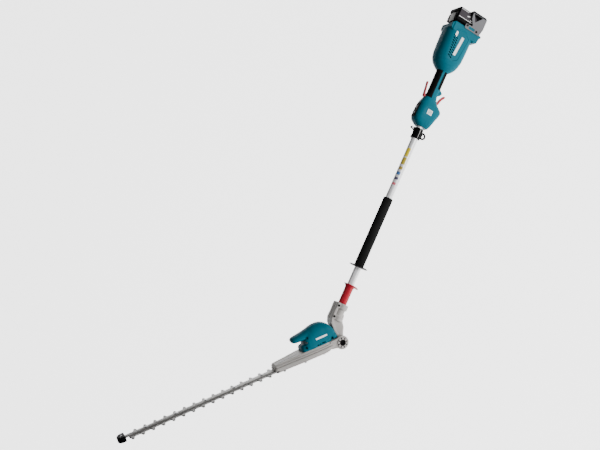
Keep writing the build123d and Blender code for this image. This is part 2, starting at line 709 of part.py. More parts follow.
with BuildPart() as body_shell:
    extrude(lobe_side(0), amount=60, both=True)
    extrude(lobe_top(0), amount=100, both=True, mode=Mode.INTERSECT)
    extrude(lobe_end(0), amount=400, mode=Mode.INTERSECT)
    revolve(barrel_half(0), axis=MOTOR_AXIS)
    with BuildSketch(Plane.XZ):
        Rectangle(2000, 400)
    extrude(amount=BARREL_HALF, both=True, mode=Mode.INTERSECT)
    with BuildSketch(Plane.YZ.offset(HANDLE_FRONT)):
        with Locations((0, HANDLE_Z)):
            RectangleRounded(HANDLE_W, HANDLE_H, 15)
    extrude(amount=HANDLE_REAR - HANDLE_FRONT + 4)
    with BuildSketch(Plane.XZ):
        with BuildLine():
            Polyline(
                (SEAT_FRONT, 60),
                (SEAT_FRONT + 8, 66),
                (SEAT_REAR - 8, 66),
                (SEAT_REAR, 58),
                (SEAT_REAR, -66),
                (SEAT_REAR - 2, -74),
                (SEAT_REAR - 9, -74),
                (SEAT_REAR - 12, -66),
                (SEAT_FRONT + 12, -64),
                (SEAT_FRONT - 2, -40),
                close=True,
            )
        make_face()
    extrude(amount=SEAT_HALF, both=True)
    with BuildSketch(Plane.XZ):
        with BuildLine():
            Polyline((304, -8), (314, -25), (322, -26), (328, -18), (334, -8), close=True)
        make_face()
    extrude(amount=9, both=True)
    add(body_cavity.part, mode=Mode.SUBTRACT)
    for start, length, radius in (
        (160, POLE_REAR - 160, POLE_R),
        (MOTOR_FRONT - 14, 6, 9),
        (MOTOR_FRONT, MOTOR_LENGTH, 27),
        (MOTOR_FRONT + MOTOR_LENGTH + 25, 6, 9),
        (POLE_REAR - 2, 345, SHAFT_R + 1.5),
    ):
        with BuildSketch(Plane.YZ.offset(start)):
            Circle(radius)
        extrude(amount=length, mode=Mode.SUBTRACT)
    with BuildSketch(Plane.XZ):
        with Locations(*HOUSING_SCREWS):
            Circle(1.6)
    extrude(amount=14, both=True, mode=Mode.SUBTRACT)
    with BuildSketch(Plane.XZ):
        with Locations((TRIGGER_X, TRIGGER_Z), (LOCK_X, LOCK_Z)):
            Circle(1.5)
    extrude(amount=12, both=True, mode=Mode.SUBTRACT)
    for side in (1, -1):
        with BuildSketch(Plane.YZ.offset(HANDLE_FRONT + 12)):
            with Locations((0, HANDLE_Z)):
                Rectangle(HANDLE_W + 30, HANDLE_H + 10)
                RectangleRounded(HANDLE_W - 2 * GRIP_T, HANDLE_H - 2 * GRIP_T, 13, mode=Mode.SUBTRACT)
            with Locations((0, HANDLE_Z + side * STRIPE_EDGE - side * 25)):
                Rectangle(90, 50, mode=Mode.SUBTRACT)
        extrude(amount=HANDLE_REAR - HANDLE_FRONT - 18, mode=Mode.SUBTRACT)
    with BuildSketch(Plane.XY.offset(18)):
        with Locations((283, 0)):
            Rectangle(18, 15)
    extrude(amount=30, mode=Mode.SUBTRACT)
    with BuildSketch(Plane.XY.offset(-8)):
        with Locations((279, 0)):
            Rectangle(20, 17)
    extrude(amount=-30, mode=Mode.SUBTRACT)
    with BuildSketch(PANEL_TOP):
        Rectangle(PANEL_L + 1, PANEL_W + 1)
    extrude(amount=10, mode=Mode.SUBTRACT)
    with BuildSketch(PANEL_TOP):
        Rectangle(PANEL_L - 6, PANEL_W - 6)
    extrude(amount=-6, mode=Mode.SUBTRACT)
    with BuildSketch(Plane.XZ):
        for step in range(VENTS):
            with Locations(Location((VENT_FIRST + VENT_PITCH * step, 27, 0), (0, 0, 35))):
                SlotOverall(17, 4)
    extrude(amount=60, both=True, mode=Mode.SUBTRACT)

with BuildPart() as housing_left:
    add(body_shell.part)
    split(bisect_by=Plane.XZ, keep=Keep.TOP)

with BuildPart() as housing_right:
    add(body_shell.part)
    split(bisect_by=Plane.XZ, keep=Keep.BOTTOM)

with BuildPart() as housing_screws:
    with BuildSketch(Plane.XZ):
        with Locations(*HOUSING_SCREWS):
            Circle(1.6)
    extrude(amount=14, both=True)

with BuildPart() as grip_upper:
    with BuildSketch(Plane.YZ.offset(HANDLE_FRONT + 12)):
        with Locations((0, HANDLE_Z)):
            RectangleRounded(HANDLE_W, HANDLE_H, 15)
            RectangleRounded(HANDLE_W - 2 * GRIP_T, HANDLE_H - 2 * GRIP_T, 13, mode=Mode.SUBTRACT)
        with Locations((0, HANDLE_Z + STRIPE_EDGE - 25)):
            Rectangle(60, 50, mode=Mode.SUBTRACT)
    extrude(amount=HANDLE_REAR - HANDLE_FRONT - 18)

with BuildPart() as grip_lower:
    with BuildSketch(Plane.YZ.offset(HANDLE_FRONT + 12)):
        with Locations((0, HANDLE_Z)):
            RectangleRounded(HANDLE_W, HANDLE_H, 15)
            RectangleRounded(HANDLE_W - 2 * GRIP_T, HANDLE_H - 2 * GRIP_T, 13, mode=Mode.SUBTRACT)
        with Locations((0, HANDLE_Z - STRIPE_EDGE + 25)):
            Rectangle(60, 50, mode=Mode.SUBTRACT)
    extrude(amount=HANDLE_REAR - HANDLE_FRONT - 18)

# ---------------------------------------------------------------- controls
with BuildPart() as control_panel:
    with BuildSketch(PANEL_TOP):
        RectangleRounded(PANEL_L, PANEL_W, 5)
        with Locations(*BUTTON_PLACES):
            Circle(BUTTON_R + 0.3, mode=Mode.SUBTRACT)
    extrude(amount=2.4)

with BuildPart() as power_button:
    with BuildSketch(PANEL_TOP.offset(1)):
        with Locations(BUTTON_PLACES[0]):
            Circle(BUTTON_R)
    extrude(amount=2.6)

with BuildPart() as mode_button:
    with BuildSketch(PANEL_TOP.offset(1)):
        with Locations(BUTTON_PLACES[1]):
            Circle(BUTTON_R)
    extrude(amount=2.6)

with BuildPart() as trigger:
    with BuildSketch(Plane.XZ):
        with Locations((TRIGGER_X, TRIGGER_Z)):
            Circle(4)
        with BuildLine():
            Polyline(
                (TRIGGER_X - 2, TRIGGER_Z),
                (TRIGGER_X - 3, -27),
                (TRIGGER_X + 12, -30.5),
                (TRIGGER_X + 36, -42),
                (TRIGGER_X + 38, -39),
                (TRIGGER_X + 14, -26),
                (TRIGGER_X + 3, -23),
                (TRIGGER_X + 2, TRIGGER_Z),
                close=True,
            )
        make_face()
        with Locations((TRIGGER_X, TRIGGER_Z)):
            Circle(1.5 + RUN, mode=Mode.SUBTRACT)
    extrude(amount=7, both=True)

with BuildPart() as lock_off_lever:
    with BuildSketch(Plane.XZ):
        with Locations((LOCK_X, LOCK_Z)):
            Circle(4)
        with BuildLine():
            Polyline(
                (LOCK_X - 2, LOCK_Z),
                (LOCK_X - 1, 38),
                (LOCK_X + 6, 40),
                (LOCK_X + 54, 46),
                (LOCK_X + 55, 43),
                (LOCK_X + 10, 36),
                (LOCK_X + 3, LOCK_Z),
                close=True,
            )
        make_face()
        with Locations((LOCK_X, LOCK_Z)):
            Circle(1.5 + RUN, mode=Mode.SUBTRACT)
    extrude(amount=6, both=True)

with BuildPart() as lever_pins:
    with BuildSketch(Plane.XZ):
        with Locations((TRIGGER_X, TRIGGER_Z), (LOCK_X, LOCK_Z)):
            Circle(1.5)
    extrude(amount=12, both=True)

with BuildPart() as trigger_switch:
    with BuildSketch(Plane.XZ):
        with Locations((248, 19)):
            Rectangle(40, 18)
    extrude(amount=9, both=True)

with BuildPart() as controller:
    with BuildSketch(Plane.YZ.offset(SEAT_REAR - 28)):
        with Locations((0, 10)):
            RectangleRounded(60, 76, 4)
    extrude(amount=14)

# ---------------------------------------------------------------- battery
with BuildPart() as terminal_block:
    with BuildSketch(Plane.YZ.offset(SEAT_REAR)):
        with Locations((0, -10)):
            Rectangle(44, 70)
    extrude(amount=3)
    with BuildSketch(Plane.YZ.offset(SEAT_REAR + 3)):
        with Locations((0, -10)):
            Rectangle(52, 70)
    extrude(amount=3)

with BuildPart() as battery_case:
    with BuildSketch(Plane.YZ.offset(BATTERY_FRONT)):
        with Locations((0, (BATTERY_LOW + BATTERY_HIGH) / 2)):
            RectangleRounded(2 * BATTERY_HALF, BATTERY_HIGH - BATTERY_LOW, 9)
    extrude(amount=SPLIT - BATTERY_FRONT)
    for start, length, half in ((BATTERY_FRONT, 1.7, 22.4), (BATTERY_FRONT + 1.7, 3.7, 26.4)):
        with BuildSketch(Plane.YZ.offset(start)):
            with Locations((0, BATTERY_LOW + 40)):
                Rectangle(2 * half, 80.8)
        extrude(amount=length, mode=Mode.SUBTRACT)
    with BuildSketch(Plane.YZ.offset(SPLIT - 2 * CELL_PITCH + 6)):
        with Locations((0, 0)):
            Rectangle(2 * BATTERY_HALF - 7, CELL_BAY)
    extrude(amount=40, mode=Mode.SUBTRACT)
    with BuildSketch(Plane.XY.offset(BATTERY_HIGH)):
        with Locations((BUTTON_X, 0)):
            Rectangle(BUTTON_L + 0.8, BUTTON_L + 0.8)
    extrude(amount=-8, mode=Mode.SUBTRACT)

with BuildPart() as battery_lid:
    with BuildSketch(Plane.YZ.offset(SPLIT)):
        with Locations((0, (BATTERY_LOW + BATTERY_HIGH) / 2)):
            RectangleRounded(2 * BATTERY_HALF, BATTERY_HIGH - BATTERY_LOW, 9)
    extrude(amount=BATTERY_REAR - SPLIT)
    with BuildSketch(Plane.YZ.offset(SPLIT)):
        with Locations((0, 0)):
            Rectangle(2 * BATTERY_HALF - 7, CELL_BAY)
    extrude(amount=BATTERY_REAR - SPLIT - 3, mode=Mode.SUBTRACT)
    rim = battery_lid.faces().sort_by(Axis.X)[-1].edges()
    fillet(rim, 5)

with BuildPart() as battery_cells:
    with BuildSketch(Plane.XZ):
        with Locations((SPLIT - CELL_PITCH / 2 - 2, 0)):
            with GridLocations(CELL_PITCH, CELL_PITCH, 2, 5):
                Circle(CELL_R)
    extrude(amount=33, both=True)

with BuildPart() as battery_button:
    with BuildSketch(Plane.XY.offset(BATTERY_HIGH - 5)):
        with Locations((BUTTON_X, 0)):
            RectangleRounded(BUTTON_L, BUTTON_L, 3)
    extrude(amount=6)

with BuildPart() as battery_guard:
    with BuildSketch(Plane.XZ):
        with BuildLine():
            Polyline(
                (572, 17),
                (592, 17),
                (592, -12),
                (626, 8),
                (GUARD_REAR, 8),
                (GUARD_REAR, -58),
                (600, -58),
                (572, -50),
                close=True,
            )
        make_face()
    extrude(amount=SEAT_HALF + 3.4, both=True)
    with BuildSketch(Plane.XZ):
        with BuildLine():
            Polyline((540, 30), (GUARD_REAR - 3.2, 30), (GUARD_REAR - 3.2, -54.4), (540, -54.4), close=True)
        make_face()
    extrude(amount=SEAT_HALF + 0.1, both=True, mode=Mode.SUBTRACT)
    with BuildSketch(Plane.XZ):
        with BuildLine():
            Polyline((540, 60), (SEAT_REAR, 60), (SEAT_REAR, -74), (540, -74), close=True)
        make_face()
    extrude(amount=SEAT_HALF, both=True, mode=Mode.SUBTRACT)
    with BuildSketch(Plane.XZ):
        with BuildLine():
            Polyline((612, -14), (636, -1), (636, -34), close=True)
        make_face()
        with Locations(*GUARD_SCREWS):
            Circle(2)
    extrude(amount=60, both=True, mode=Mode.SUBTRACT)

with BuildPart() as guard_screws:
    screw(Plane.XZ.offset(SEAT_HALF + 3.4), GUARD_SCREWS, 4, 2, 2, 3.4)
    screw(Plane.XZ.offset(-SEAT_HALF - 3.4), GUARD_SCREWS, 4, -2, 2, -3.4)

PIECES = {
    "pole_tube": pole_tube,
    "shaft_bushes": shaft_bushes,
    "foam_grip": foam_grip,
    "grip_flange": grip_flange,
    "shaft_collar": shaft_collar,
    "hanger_upper": hanger_upper,
    "hanger_lower": hanger_lower,
    "hanger_screws": hanger_screws,
    "arm_housing": arm_housing,
    "arm_bolts": arm_bolts,
    "drive_shaft": drive_shaft,
    "drive_bevel": drive_bevel,
    "relay_shaft": relay_shaft,
    "pivot_gear": pivot_gear,
    "rotor": rotor,
    "cooling_fan": cooling_fan,
    "motor_stator": motor_stator,
    "motor_bearings": motor_bearings,
    "gear_case": gear_case,
    "gear_case_base": gear_case_base,
    "base_screws": base_screws,
    "pivot_pin": pivot_pin,
    "hub_ring": hub_ring,
    "hub_caps": hub_caps,
    "head_pinion": head_pinion,
    "crank_axle": crank_axle,
    "crank_gear": crank_gear,
    "upper_blade": upper_blade,
    "lower_blade": lower_blade,
    "upper_rod": upper_rod,
    "lower_rod": lower_rod,
    "guide_bar": guide_bar,
    "blade_bolts": blade_bolts,
    "tip_guard": tip_guard,
    "cover_left": cover_left,
    "cover_right": cover_right,
    "cover_screws": cover_screws,
    "tilt_lever": tilt_lever,
    "tilt_lever_pin": tilt_lever_pin,
    "housing_left": housing_left,
    "housing_right": housing_right,
    "housing_screws": housing_screws,
    "grip_upper": grip_upper,
    "grip_lower": grip_lower,
    "control_panel": control_panel,
    "power_button": power_button,
    "mode_button": mode_button,
    "trigger": trigger,
    "lock_off_lever": lock_off_lever,
    "lever_pins": lever_pins,
    "trigger_switch": trigger_switch,
    "controller": controller,
    "terminal_block": terminal_block,
    "battery_case": battery_case,
    "battery_lid": battery_lid,
    "battery_cells": battery_cells,
    "battery_button": battery_button,
    "battery_guard": battery_guard,
    "guard_screws": guard_screws,
}
for label, piece in PIECES.items():
    piece.part.label = label
    export_step(piece.part, f"parts/{label}.step")
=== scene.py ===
# %% [markdown]
# # A pole hedge trimmer
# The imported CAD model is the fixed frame: it holds the joints, the sizes and every inner piece.
# This lesson dresses it. Each visible casting, moulding and blade is modelled again with bmesh
# operators inside the space that its CAD node holds, and gets a procedural finish.

# %% Load the frame
import json
from math import cos, degrees, pi, radians, sin

import bmesh
import bpy
from mathutils import Matrix, Vector


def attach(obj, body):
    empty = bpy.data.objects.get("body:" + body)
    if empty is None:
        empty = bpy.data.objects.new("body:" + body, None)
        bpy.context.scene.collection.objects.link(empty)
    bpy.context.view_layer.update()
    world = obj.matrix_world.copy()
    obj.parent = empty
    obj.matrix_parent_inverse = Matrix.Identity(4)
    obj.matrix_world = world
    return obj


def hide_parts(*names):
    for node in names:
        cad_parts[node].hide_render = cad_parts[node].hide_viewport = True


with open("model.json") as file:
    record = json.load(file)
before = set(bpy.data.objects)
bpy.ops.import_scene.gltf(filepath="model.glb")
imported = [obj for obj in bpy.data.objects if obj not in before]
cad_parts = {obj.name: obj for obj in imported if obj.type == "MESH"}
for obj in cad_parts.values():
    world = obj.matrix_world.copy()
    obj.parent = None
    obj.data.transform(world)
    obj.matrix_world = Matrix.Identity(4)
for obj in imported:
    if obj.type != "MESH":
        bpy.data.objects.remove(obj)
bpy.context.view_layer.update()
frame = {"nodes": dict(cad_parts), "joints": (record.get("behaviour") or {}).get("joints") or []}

# %% [markdown]
# ## Two working frames
# A designer draws the rear unit along the pole and the head along its blade, so this script does
# the same, in millimetres. TOOL has x along the pole towards the battery and z upwards. HEAD has
# x along the blade from the pivot, y to the tool's left and z away from the blade's underside.
# Both come from the joints, so a change in the CAD carries the pieces along.

# %% The tool's frame and the head's frame
MM = 0.001
joints = {joint["name"]: joint for joint in frame["joints"]}
pivot = Vector(joints["head_tilt"]["pos_m"])
along_blade = Vector(joints["upper_blade_slide"]["axis"]).normalized()
left = -Vector(joints["head_tilt"]["axis"]).normalized()
off_blade = along_blade.cross(left)
TOOL = Matrix.Scale(MM, 4)
HEAD = Matrix((along_blade, left, off_blade)).transposed().to_4x4()
HEAD.translation = pivot
HEAD = HEAD @ Matrix.Scale(MM, 4)
tilt = degrees(radians(90) - along_blade.angle(Vector((0, 0, 1))))
print("head tilt at rest, degrees:", round(tilt, 1))

# %% [markdown]
# ## Finishes
# Every finish is one recipe with different numbers: a slow noise that shifts the colour a little,
# a fine noise that makes grain in the bump and the roughness, and pale wear where the surface is
# convex. Numbers that don't vary are set straight on the shader's sockets.

# %% The finish recipe
def finish(name, colour, roughness, metallic=0.0, grain=900.0, depth=0.12, mottle=0.12,
           wear=0.0, worn=(0.6, 0.6, 0.6), shine=0.5, stretch=None):
    """A principled material with mottled colour, grain and worn edges, in object coordinates."""
    material = bpy.data.materials.new(name)
    material.use_nodes = True
    nodes = material.node_tree.nodes
    link = material.node_tree.links.new
    shader = nodes["Principled BSDF"]
    shader.inputs["Metallic"].default_value = metallic
    shader.inputs["Specular IOR Level"].default_value = shine
    place = nodes.new("ShaderNodeTexCoord")
    mapping = nodes.new("ShaderNodeMapping")
    mapping.inputs["Scale"].default_value = stretch or (1, 1, 1)
    link(place.outputs["Object"], mapping.inputs["Vector"])

    def noise(scale, detail):
        texture = nodes.new("ShaderNodeTexNoise")
        texture.inputs["Scale"].default_value = scale
        texture.inputs["Detail"].default_value = detail
        link(mapping.outputs["Vector"], texture.inputs["Vector"])
        return texture.outputs["Fac"]

    def blend_colours(factor, first, second):
        mix = nodes.new("ShaderNodeMix")
        mix.data_type = "RGBA"
        link(factor, mix.inputs["Factor"])
        for value, socket in ((first, mix.inputs["A"]), (second, mix.inputs["B"])):
            if isinstance(value, bpy.types.NodeSocket):
                link(value, socket)
            else:
                socket.default_value = (*value, 1)
        return mix.outputs["Result"]

    def remap(value, low, high, to_low, to_high):
        span = nodes.new("ShaderNodeMapRange")
        link(value, span.inputs["Value"])
        span.inputs["From Min"].default_value = low
        span.inputs["From Max"].default_value = high
        span.inputs["To Min"].default_value = to_low
        span.inputs["To Max"].default_value = to_high
        return span.outputs["Result"]

    slow = noise(14, 4)
    fine = noise(grain, 3)
    darker = tuple(channel * (1 - mottle) for channel in colour)
    lighter = tuple(min(1, channel * (1 + mottle)) for channel in colour)
    base = blend_colours(remap(slow, 0.3, 0.7, 0, 1), darker, lighter)
    if wear:
        geometry = nodes.new("ShaderNodeNewGeometry")
        edge = remap(geometry.outputs["Pointiness"], 0.53, 0.62, 0, wear)
        patchy = nodes.new("ShaderNodeMath")
        patchy.operation = "MULTIPLY"
        link(edge, patchy.inputs[0])
        link(remap(noise(160, 5), 0.4, 0.65, 0, 1), patchy.inputs[1])
        base = blend_colours(patchy.outputs["Value"], base, worn)
    link(base, shader.inputs["Base Color"])
    link(remap(fine, 0.2, 0.8, roughness * 0.85, min(1, roughness * 1.15)), shader.inputs["Roughness"])
    bump = nodes.new("ShaderNodeBump")
    bump.inputs["Strength"].default_value = depth
    bump.inputs["Distance"].default_value = 0.0004
    link(fine, bump.inputs["Height"])
    link(bump.outputs["Normal"], shader.inputs["Normal"])
    return material


# %% The finishes of this tool
teal = finish("teal_moulding", (0.001, 0.108, 0.152), 0.4, grain=1500, depth=0.06, mottle=0.03, shine=0.05)
seam_shadow = finish("seam_shadow", (0.0006, 0.028, 0.040), 0.6, grain=1500, depth=0.05, mottle=0.03,
                     shine=0.03)
black_moulding = finish("black_moulding", (0.003, 0.003, 0.0035), 0.4, grain=1300, depth=0.08,
                        mottle=0.15, shine=0.02)
overmould = finish("overmould_rubber", (0.005, 0.005, 0.005), 0.6, grain=700, depth=0.3, shine=0.03)
foam = finish("foam_sleeve", (0.012, 0.012, 0.012), 0.9, grain=420, depth=0.8, mottle=0.25, shine=0.03)
red_moulding = finish("red_moulding", (0.42, 0.008, 0.024), 0.4, grain=1500, depth=0.08, mottle=0.06,
                      shine=0.25)
grey_moulding = finish("grey_moulding", (0.15, 0.15, 0.158), 0.55, grain=1100, depth=0.14,
                       mottle=0.07, wear=0.3, worn=(0.3, 0.3, 0.3), shine=0.08)
light_moulding = finish("light_moulding", (0.52, 0.52, 0.51), 0.5, grain=1100, depth=0.1, mottle=0.05)
silver_casting = finish("silver_casting", (0.34, 0.322, 0.305), 0.45, metallic=0.25, grain=650,
                        depth=0.25, mottle=0.06, wear=0.4, worn=(0.6, 0.59, 0.57))
bright_tube = finish("bright_tube", (0.80, 0.80, 0.81), 0.3, metallic=0.2, grain=260, depth=0.05,
                     mottle=0.03, stretch=(0.04, 1, 1))
blade_steel = finish("blade_steel", (0.22, 0.213, 0.205), 0.42, metallic=0.35, grain=500, depth=0.18,
                     mottle=0.12, wear=0.4, worn=(0.6, 0.6, 0.6))
ground_edge = finish("ground_edge", (0.12, 0.115, 0.11), 0.34, metallic=0.5, grain=900, depth=0.1)
turned_steel = finish("turned_steel", (0.42, 0.42, 0.43), 0.3, metallic=1.0, grain=700, depth=0.1)
black_screw = finish("black_screw", (0.006, 0.006, 0.006), 0.42, grain=900, depth=0.15, shine=0.06)
# painted shade: a near-black colour for the walls of cut slots, holes and recesses, standing in for the
# shade inside them
painted_recess_shade = finish("painted_recess_shade", (0.004, 0.006, 0.007), 0.8, grain=500, depth=0.1, shine=0.02)
# real grey print on the labels, and also painted shade on the cut walls of the gear case's top grooves and
# the index ring's notches
label_print_and_groove_shade = finish("label_print_and_groove_shade", (0.05, 0.044, 0.05), 0.5, grain=1500, depth=0.04, mottle=0.05, shine=0.05)
white_ink = finish("white_ink", (0.85, 0.85, 0.85), 0.4, grain=1500, depth=0.03, mottle=0.02)
copper = finish("copper_winding", (0.55, 0.22, 0.09), 0.4, metallic=0.9, grain=600, depth=0.3)
board = finish("board_green", (0.02, 0.12, 0.05), 0.5, grain=600, depth=0.2)
cell_wrap = finish("cell_wrap", (0.30, 0.45, 0.12), 0.4, grain=900, depth=0.05)

# %% [markdown]
# ## Small tools for making pieces
# A piece is drawn in millimetres in a bmesh, moved into place by its frame's matrix, and written
# to an object that stays at the origin. Corners are softened with a bevel on the edges that turn
# sharply, which keeps highlights on every edge as a real moulding has.

# %% Helpers
def new_bmesh():
    return bmesh.new()


def sharp_edges(bm, angle=0.6):
    return [edge for edge in bm.edges if edge.is_manifold and edge.calc_face_angle(0) > angle]


def soften(bm, width, segments=3, angle=0.6, edges=None):
    """Rounds the sharp edges."""
    chosen = sharp_edges(bm, angle) if edges is None else edges
    bmesh.ops.bevel(bm, geom=chosen, offset=width, offset_type="OFFSET", affect="EDGES",
                    segments=segments, profile=0.5, clamp_overlap=True, material=-1)


def box(bm, low, high):
    """A block between two corners."""
    size = [b - a for a, b in zip(low, high)]
    middle = [(a + b) / 2 for a, b in zip(low, high)]
    made = bmesh.ops.create_cube(bm, size=1.0)
    bmesh.ops.scale(bm, vec=size, verts=made["verts"])
    bmesh.ops.translate(bm, vec=middle, verts=made["verts"])
    return made["verts"]


def turn(bm, profile, axis="x", centre=(0, 0, 0), steps=64):
    """Spins a profile of (along, radius) pairs about an axis through centre."""
    spots = []
    for along, radius in profile:
        spot = {"x": (along, 0, radius), "y": (radius, along, 0), "z": (radius, 0, along)}[axis]
        spots.append(bm.verts.new(Vector(spot) + Vector(centre)))
    edges = [bm.edges.new(pair) for pair in zip(spots, spots[1:])]
    direction = {"x": (1, 0, 0), "y": (0, 1, 0), "z": (0, 0, 1)}[axis]
    bmesh.ops.spin(bm, geom=spots + edges, cent=centre, axis=direction, angle=2 * pi, steps=steps,
                   use_merge=True, use_duplicate=False)
    bmesh.ops.remove_doubles(bm, verts=bm.verts, dist=0.001)
    bmesh.ops.recalc_face_normals(bm, faces=bm.faces)


def section(bm, x, z, height, width, power, steps=48):
    """A ring of vertices across x: a circle pushed out towards a rounded rectangle."""
    ring = bmesh.ops.create_circle(bm, cap_ends=False, segments=steps, radius=1.0)["verts"]
    for vert in ring:
        across, up = vert.co.x, vert.co.y
        swell = (abs(across) ** power + abs(up) ** power) ** (-1 / power)
        vert.co = (x, across * swell * width / 2, z + up * swell * height / 2)
    return ring


def loft(bm, stations, steps=48):
    """Bridges a row of sections and closes both ends."""
    rings = [section(bm, *station, steps=steps) for station in stations]
    loops = []
    for ring in rings:
        members = set(ring)
        loops.append([e for e in bm.edges if e.verts[0] in members and e.verts[1] in members])
    for first, second in zip(loops, loops[1:]):
        bmesh.ops.bridge_loops(bm, edges=first + second)
    bmesh.ops.holes_fill(bm, edges=loops[0] + loops[-1], sides=steps)
    bmesh.ops.recalc_face_normals(bm, faces=bm.faces)


def plate(bm, outline, low, high, plane="xz"):
    """A flat outline given thickness across its plane."""
    order = {"xz": lambda a, b: (a, low, b), "xy": lambda a, b: (a, b, low), "yz": lambda a, b: (low, a, b)}
    verts = [bm.verts.new(order[plane](a, b)) for a, b in outline]
    face = bm.faces.new(verts)
    grown = bmesh.ops.extrude_face_region(bm, geom=[face])
    lifted = [item for item in grown["geom"] if isinstance(item, bmesh.types.BMVert)]
    step = {"xz": (0, high - low, 0), "xy": (0, 0, high - low), "yz": (high - low, 0, 0)}[plane]
    bmesh.ops.translate(bm, vec=step, verts=lifted)
    bmesh.ops.recalc_face_normals(bm, faces=bm.faces)
    return verts + lifted


def piece(name, bm, place, body, material, replaces=(), smooth=35):
    """Writes a bmesh to a finished object that rides on a body."""
    mesh = bpy.data.meshes.new(name)
    bm.to_mesh(mesh)
    bm.free()
    mesh.transform(place)
    finishes = material if isinstance(material, (list, tuple)) else [material]
    for each in finishes:
        mesh.materials.append(each)
    mesh.shade_smooth()
    mesh.set_sharp_from_angle(angle=radians(smooth))
    obj = bpy.data.objects.new(name, mesh)
    bpy.context.collection.objects.link(obj)
    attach(obj, body)
    if replaces:
        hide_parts(*replaces)
    return obj


def carve(obj, cutters):
    """Cuts closed shapes out of a piece. The cut walls keep the cutter's finish."""
    for cutter in cutters:
        tool = obj.modifiers.new("cut", "BOOLEAN")
        tool.operation = "DIFFERENCE"
        tool.solver = "EXACT"
        tool.material_mode = "TRANSFER"
        tool.object = cutter
    bpy.context.view_layer.update()
    graph = bpy.context.evaluated_depsgraph_get()
    cut = bpy.data.meshes.new_from_object(obj.evaluated_get(graph))
    obj.modifiers.clear()
    obj.data = cut
    obj.data.shade_smooth()
    obj.data.set_sharp_from_angle(angle=radians(30))
    for cutter in cutters:
        bpy.data.objects.remove(cutter)


def cutter(bm, place, material):
    """A closed shape that only carve uses."""
    mesh = bpy.data.meshes.new("cutter")
    bm.to_mesh(mesh)
    bm.free()
    mesh.transform(place)
    mesh.materials.append(material)
    obj = bpy.data.objects.new("cutter", mesh)
    bpy.context.collection.objects.link(obj)
    return obj


def block(low, high, place):
    """A box that cuts a recess whose walls are painted near-black shade."""
    bm = new_bmesh()
    box(bm, low, high)
    return cutter(bm, place, painted_recess_shade)


# %% [markdown]
# ## Cast and moulded shapes
# A casting is drawn as a few overlapping solids. A voxel remesh makes them one skin and a smoothing
# pass rounds the corners where they meet, which is how a fillet looks on a die casting. The same
# way gives soft moulded covers. A shell that is split down the middle is cut after that.

# %% Helpers for castings
def baked(obj):
    """Applies an object's modifiers to its mesh."""
    bpy.context.view_layer.update()
    graph = bpy.context.evaluated_depsgraph_get()
    mesh = bpy.data.meshes.new_from_object(obj.evaluated_get(graph))
    obj.modifiers.clear()
    obj.data = mesh


def skin(bm, voxel, rounds):
    """One closed smooth bmesh, in the same millimetres, from overlapping solids."""
    mesh = bpy.data.meshes.new("skin")
    bm.to_mesh(mesh)
    bm.free()
    mesh.transform(Matrix.Scale(MM, 4))
    obj = bpy.data.objects.new("skin", mesh)
    bpy.context.collection.objects.link(obj)
    remesh = obj.modifiers.new("one_skin", "REMESH")
    remesh.mode = "VOXEL"
    remesh.voxel_size = voxel * MM
    smoothing = obj.modifiers.new("fillets", "SMOOTH")
    smoothing.factor = 0.5
    smoothing.iterations = rounds
    baked(obj)
    made = bmesh.new()
    made.from_mesh(obj.data)
    bmesh.ops.scale(made, vec=(1 / MM,) * 3, verts=made.verts)
    bpy.data.objects.remove(obj)
    return made


def absorb(bm, other):
    """Adds another bmesh's geometry and frees it."""
    mesh = bpy.data.meshes.new("absorbed")
    other.to_mesh(mesh)
    other.free()
    bm.from_mesh(mesh)
    bpy.data.meshes.remove(mesh)


def trim(bm, spot, facing):
    """Cuts off what lies beyond a plane, on the side it faces, and closes the cut."""
    cut = bmesh.ops.bisect_plane(bm, geom=bm.verts[:] + bm.edges[:] + bm.faces[:], plane_co=spot,
                                 plane_no=facing, clear_outer=True)
    rim = [item for item in cut["geom_cut"] if isinstance(item, bmesh.types.BMEdge)]
    bmesh.ops.holes_fill(bm, edges=rim, sides=0)


def half(bm, side, gap=0.12):
    """Keeps the half of a closed shape on one side of y = 0."""
    trim(bm, (0, side * gap, 0), (0, -side, 0))
    return bm


def inked(bm, corners, index, side):
    """Gives the surface inside a convex outline in the xz plane another finish."""
    centre = sum((Vector(corner) for corner in corners), Vector((0, 0))) / len(corners)
    planes = []
    for first, second in zip(corners, corners[1:] + corners[:1]):
        run = Vector(second) - Vector(first)
        facing = Vector((run.y, 0, -run.x))
        spot = Vector((first[0], 0, first[1]))
        if facing.dot(Vector((centre.x, 0, centre.y)) - spot) > 0:
            facing.negate()
        planes.append((spot, facing))
        bmesh.ops.bisect_plane(bm, geom=bm.verts[:] + bm.edges[:] + bm.faces[:], plane_co=spot,
                               plane_no=facing)
    for face in bm.faces:
        middle = face.calc_center_median()
        if middle.y * side > 0 and all(facing.dot(middle - spot) < 0 for spot, facing in planes):
            face.material_index = index


def slot_shape(bm, centre, length, width, depth, angle):
    """A stadium-ended bar through y, turned in the xz plane."""
    lean = radians(angle)
    outline = []
    for end in (1, -1):
        for turned in range(-90, 91, 18):
            swing = radians(turned) + (0 if end == 1 else pi)
            along = end * (length - width) / 2 + width / 2 * cos(swing)
            across = width / 2 * sin(swing)
            outline.append((centre[0] + along * cos(lean) - across * sin(lean),
                            centre[2] + along * sin(lean) + across * cos(lean)))
    plate(bm, outline, centre[1] - depth / 2, centre[1] + depth / 2)


def bar_between(bm, start, end, width, low, high):
    """A square bar from start to end in the xz plane, between two y values."""
    run = Vector((end[0] - start[0], 0, end[1] - start[1]))
    verts = box(bm, (-width / 2, low, -width / 2), (run.length + width / 2, high, width / 2))
    lean = Vector((1, 0, 0)).rotation_difference(run).to_matrix()
    bmesh.ops.rotate(bm, cent=(0, 0, 0), matrix=lean, verts=verts)
    bmesh.ops.translate(bm, verts=verts, vec=(start[0], 0, start[1]))


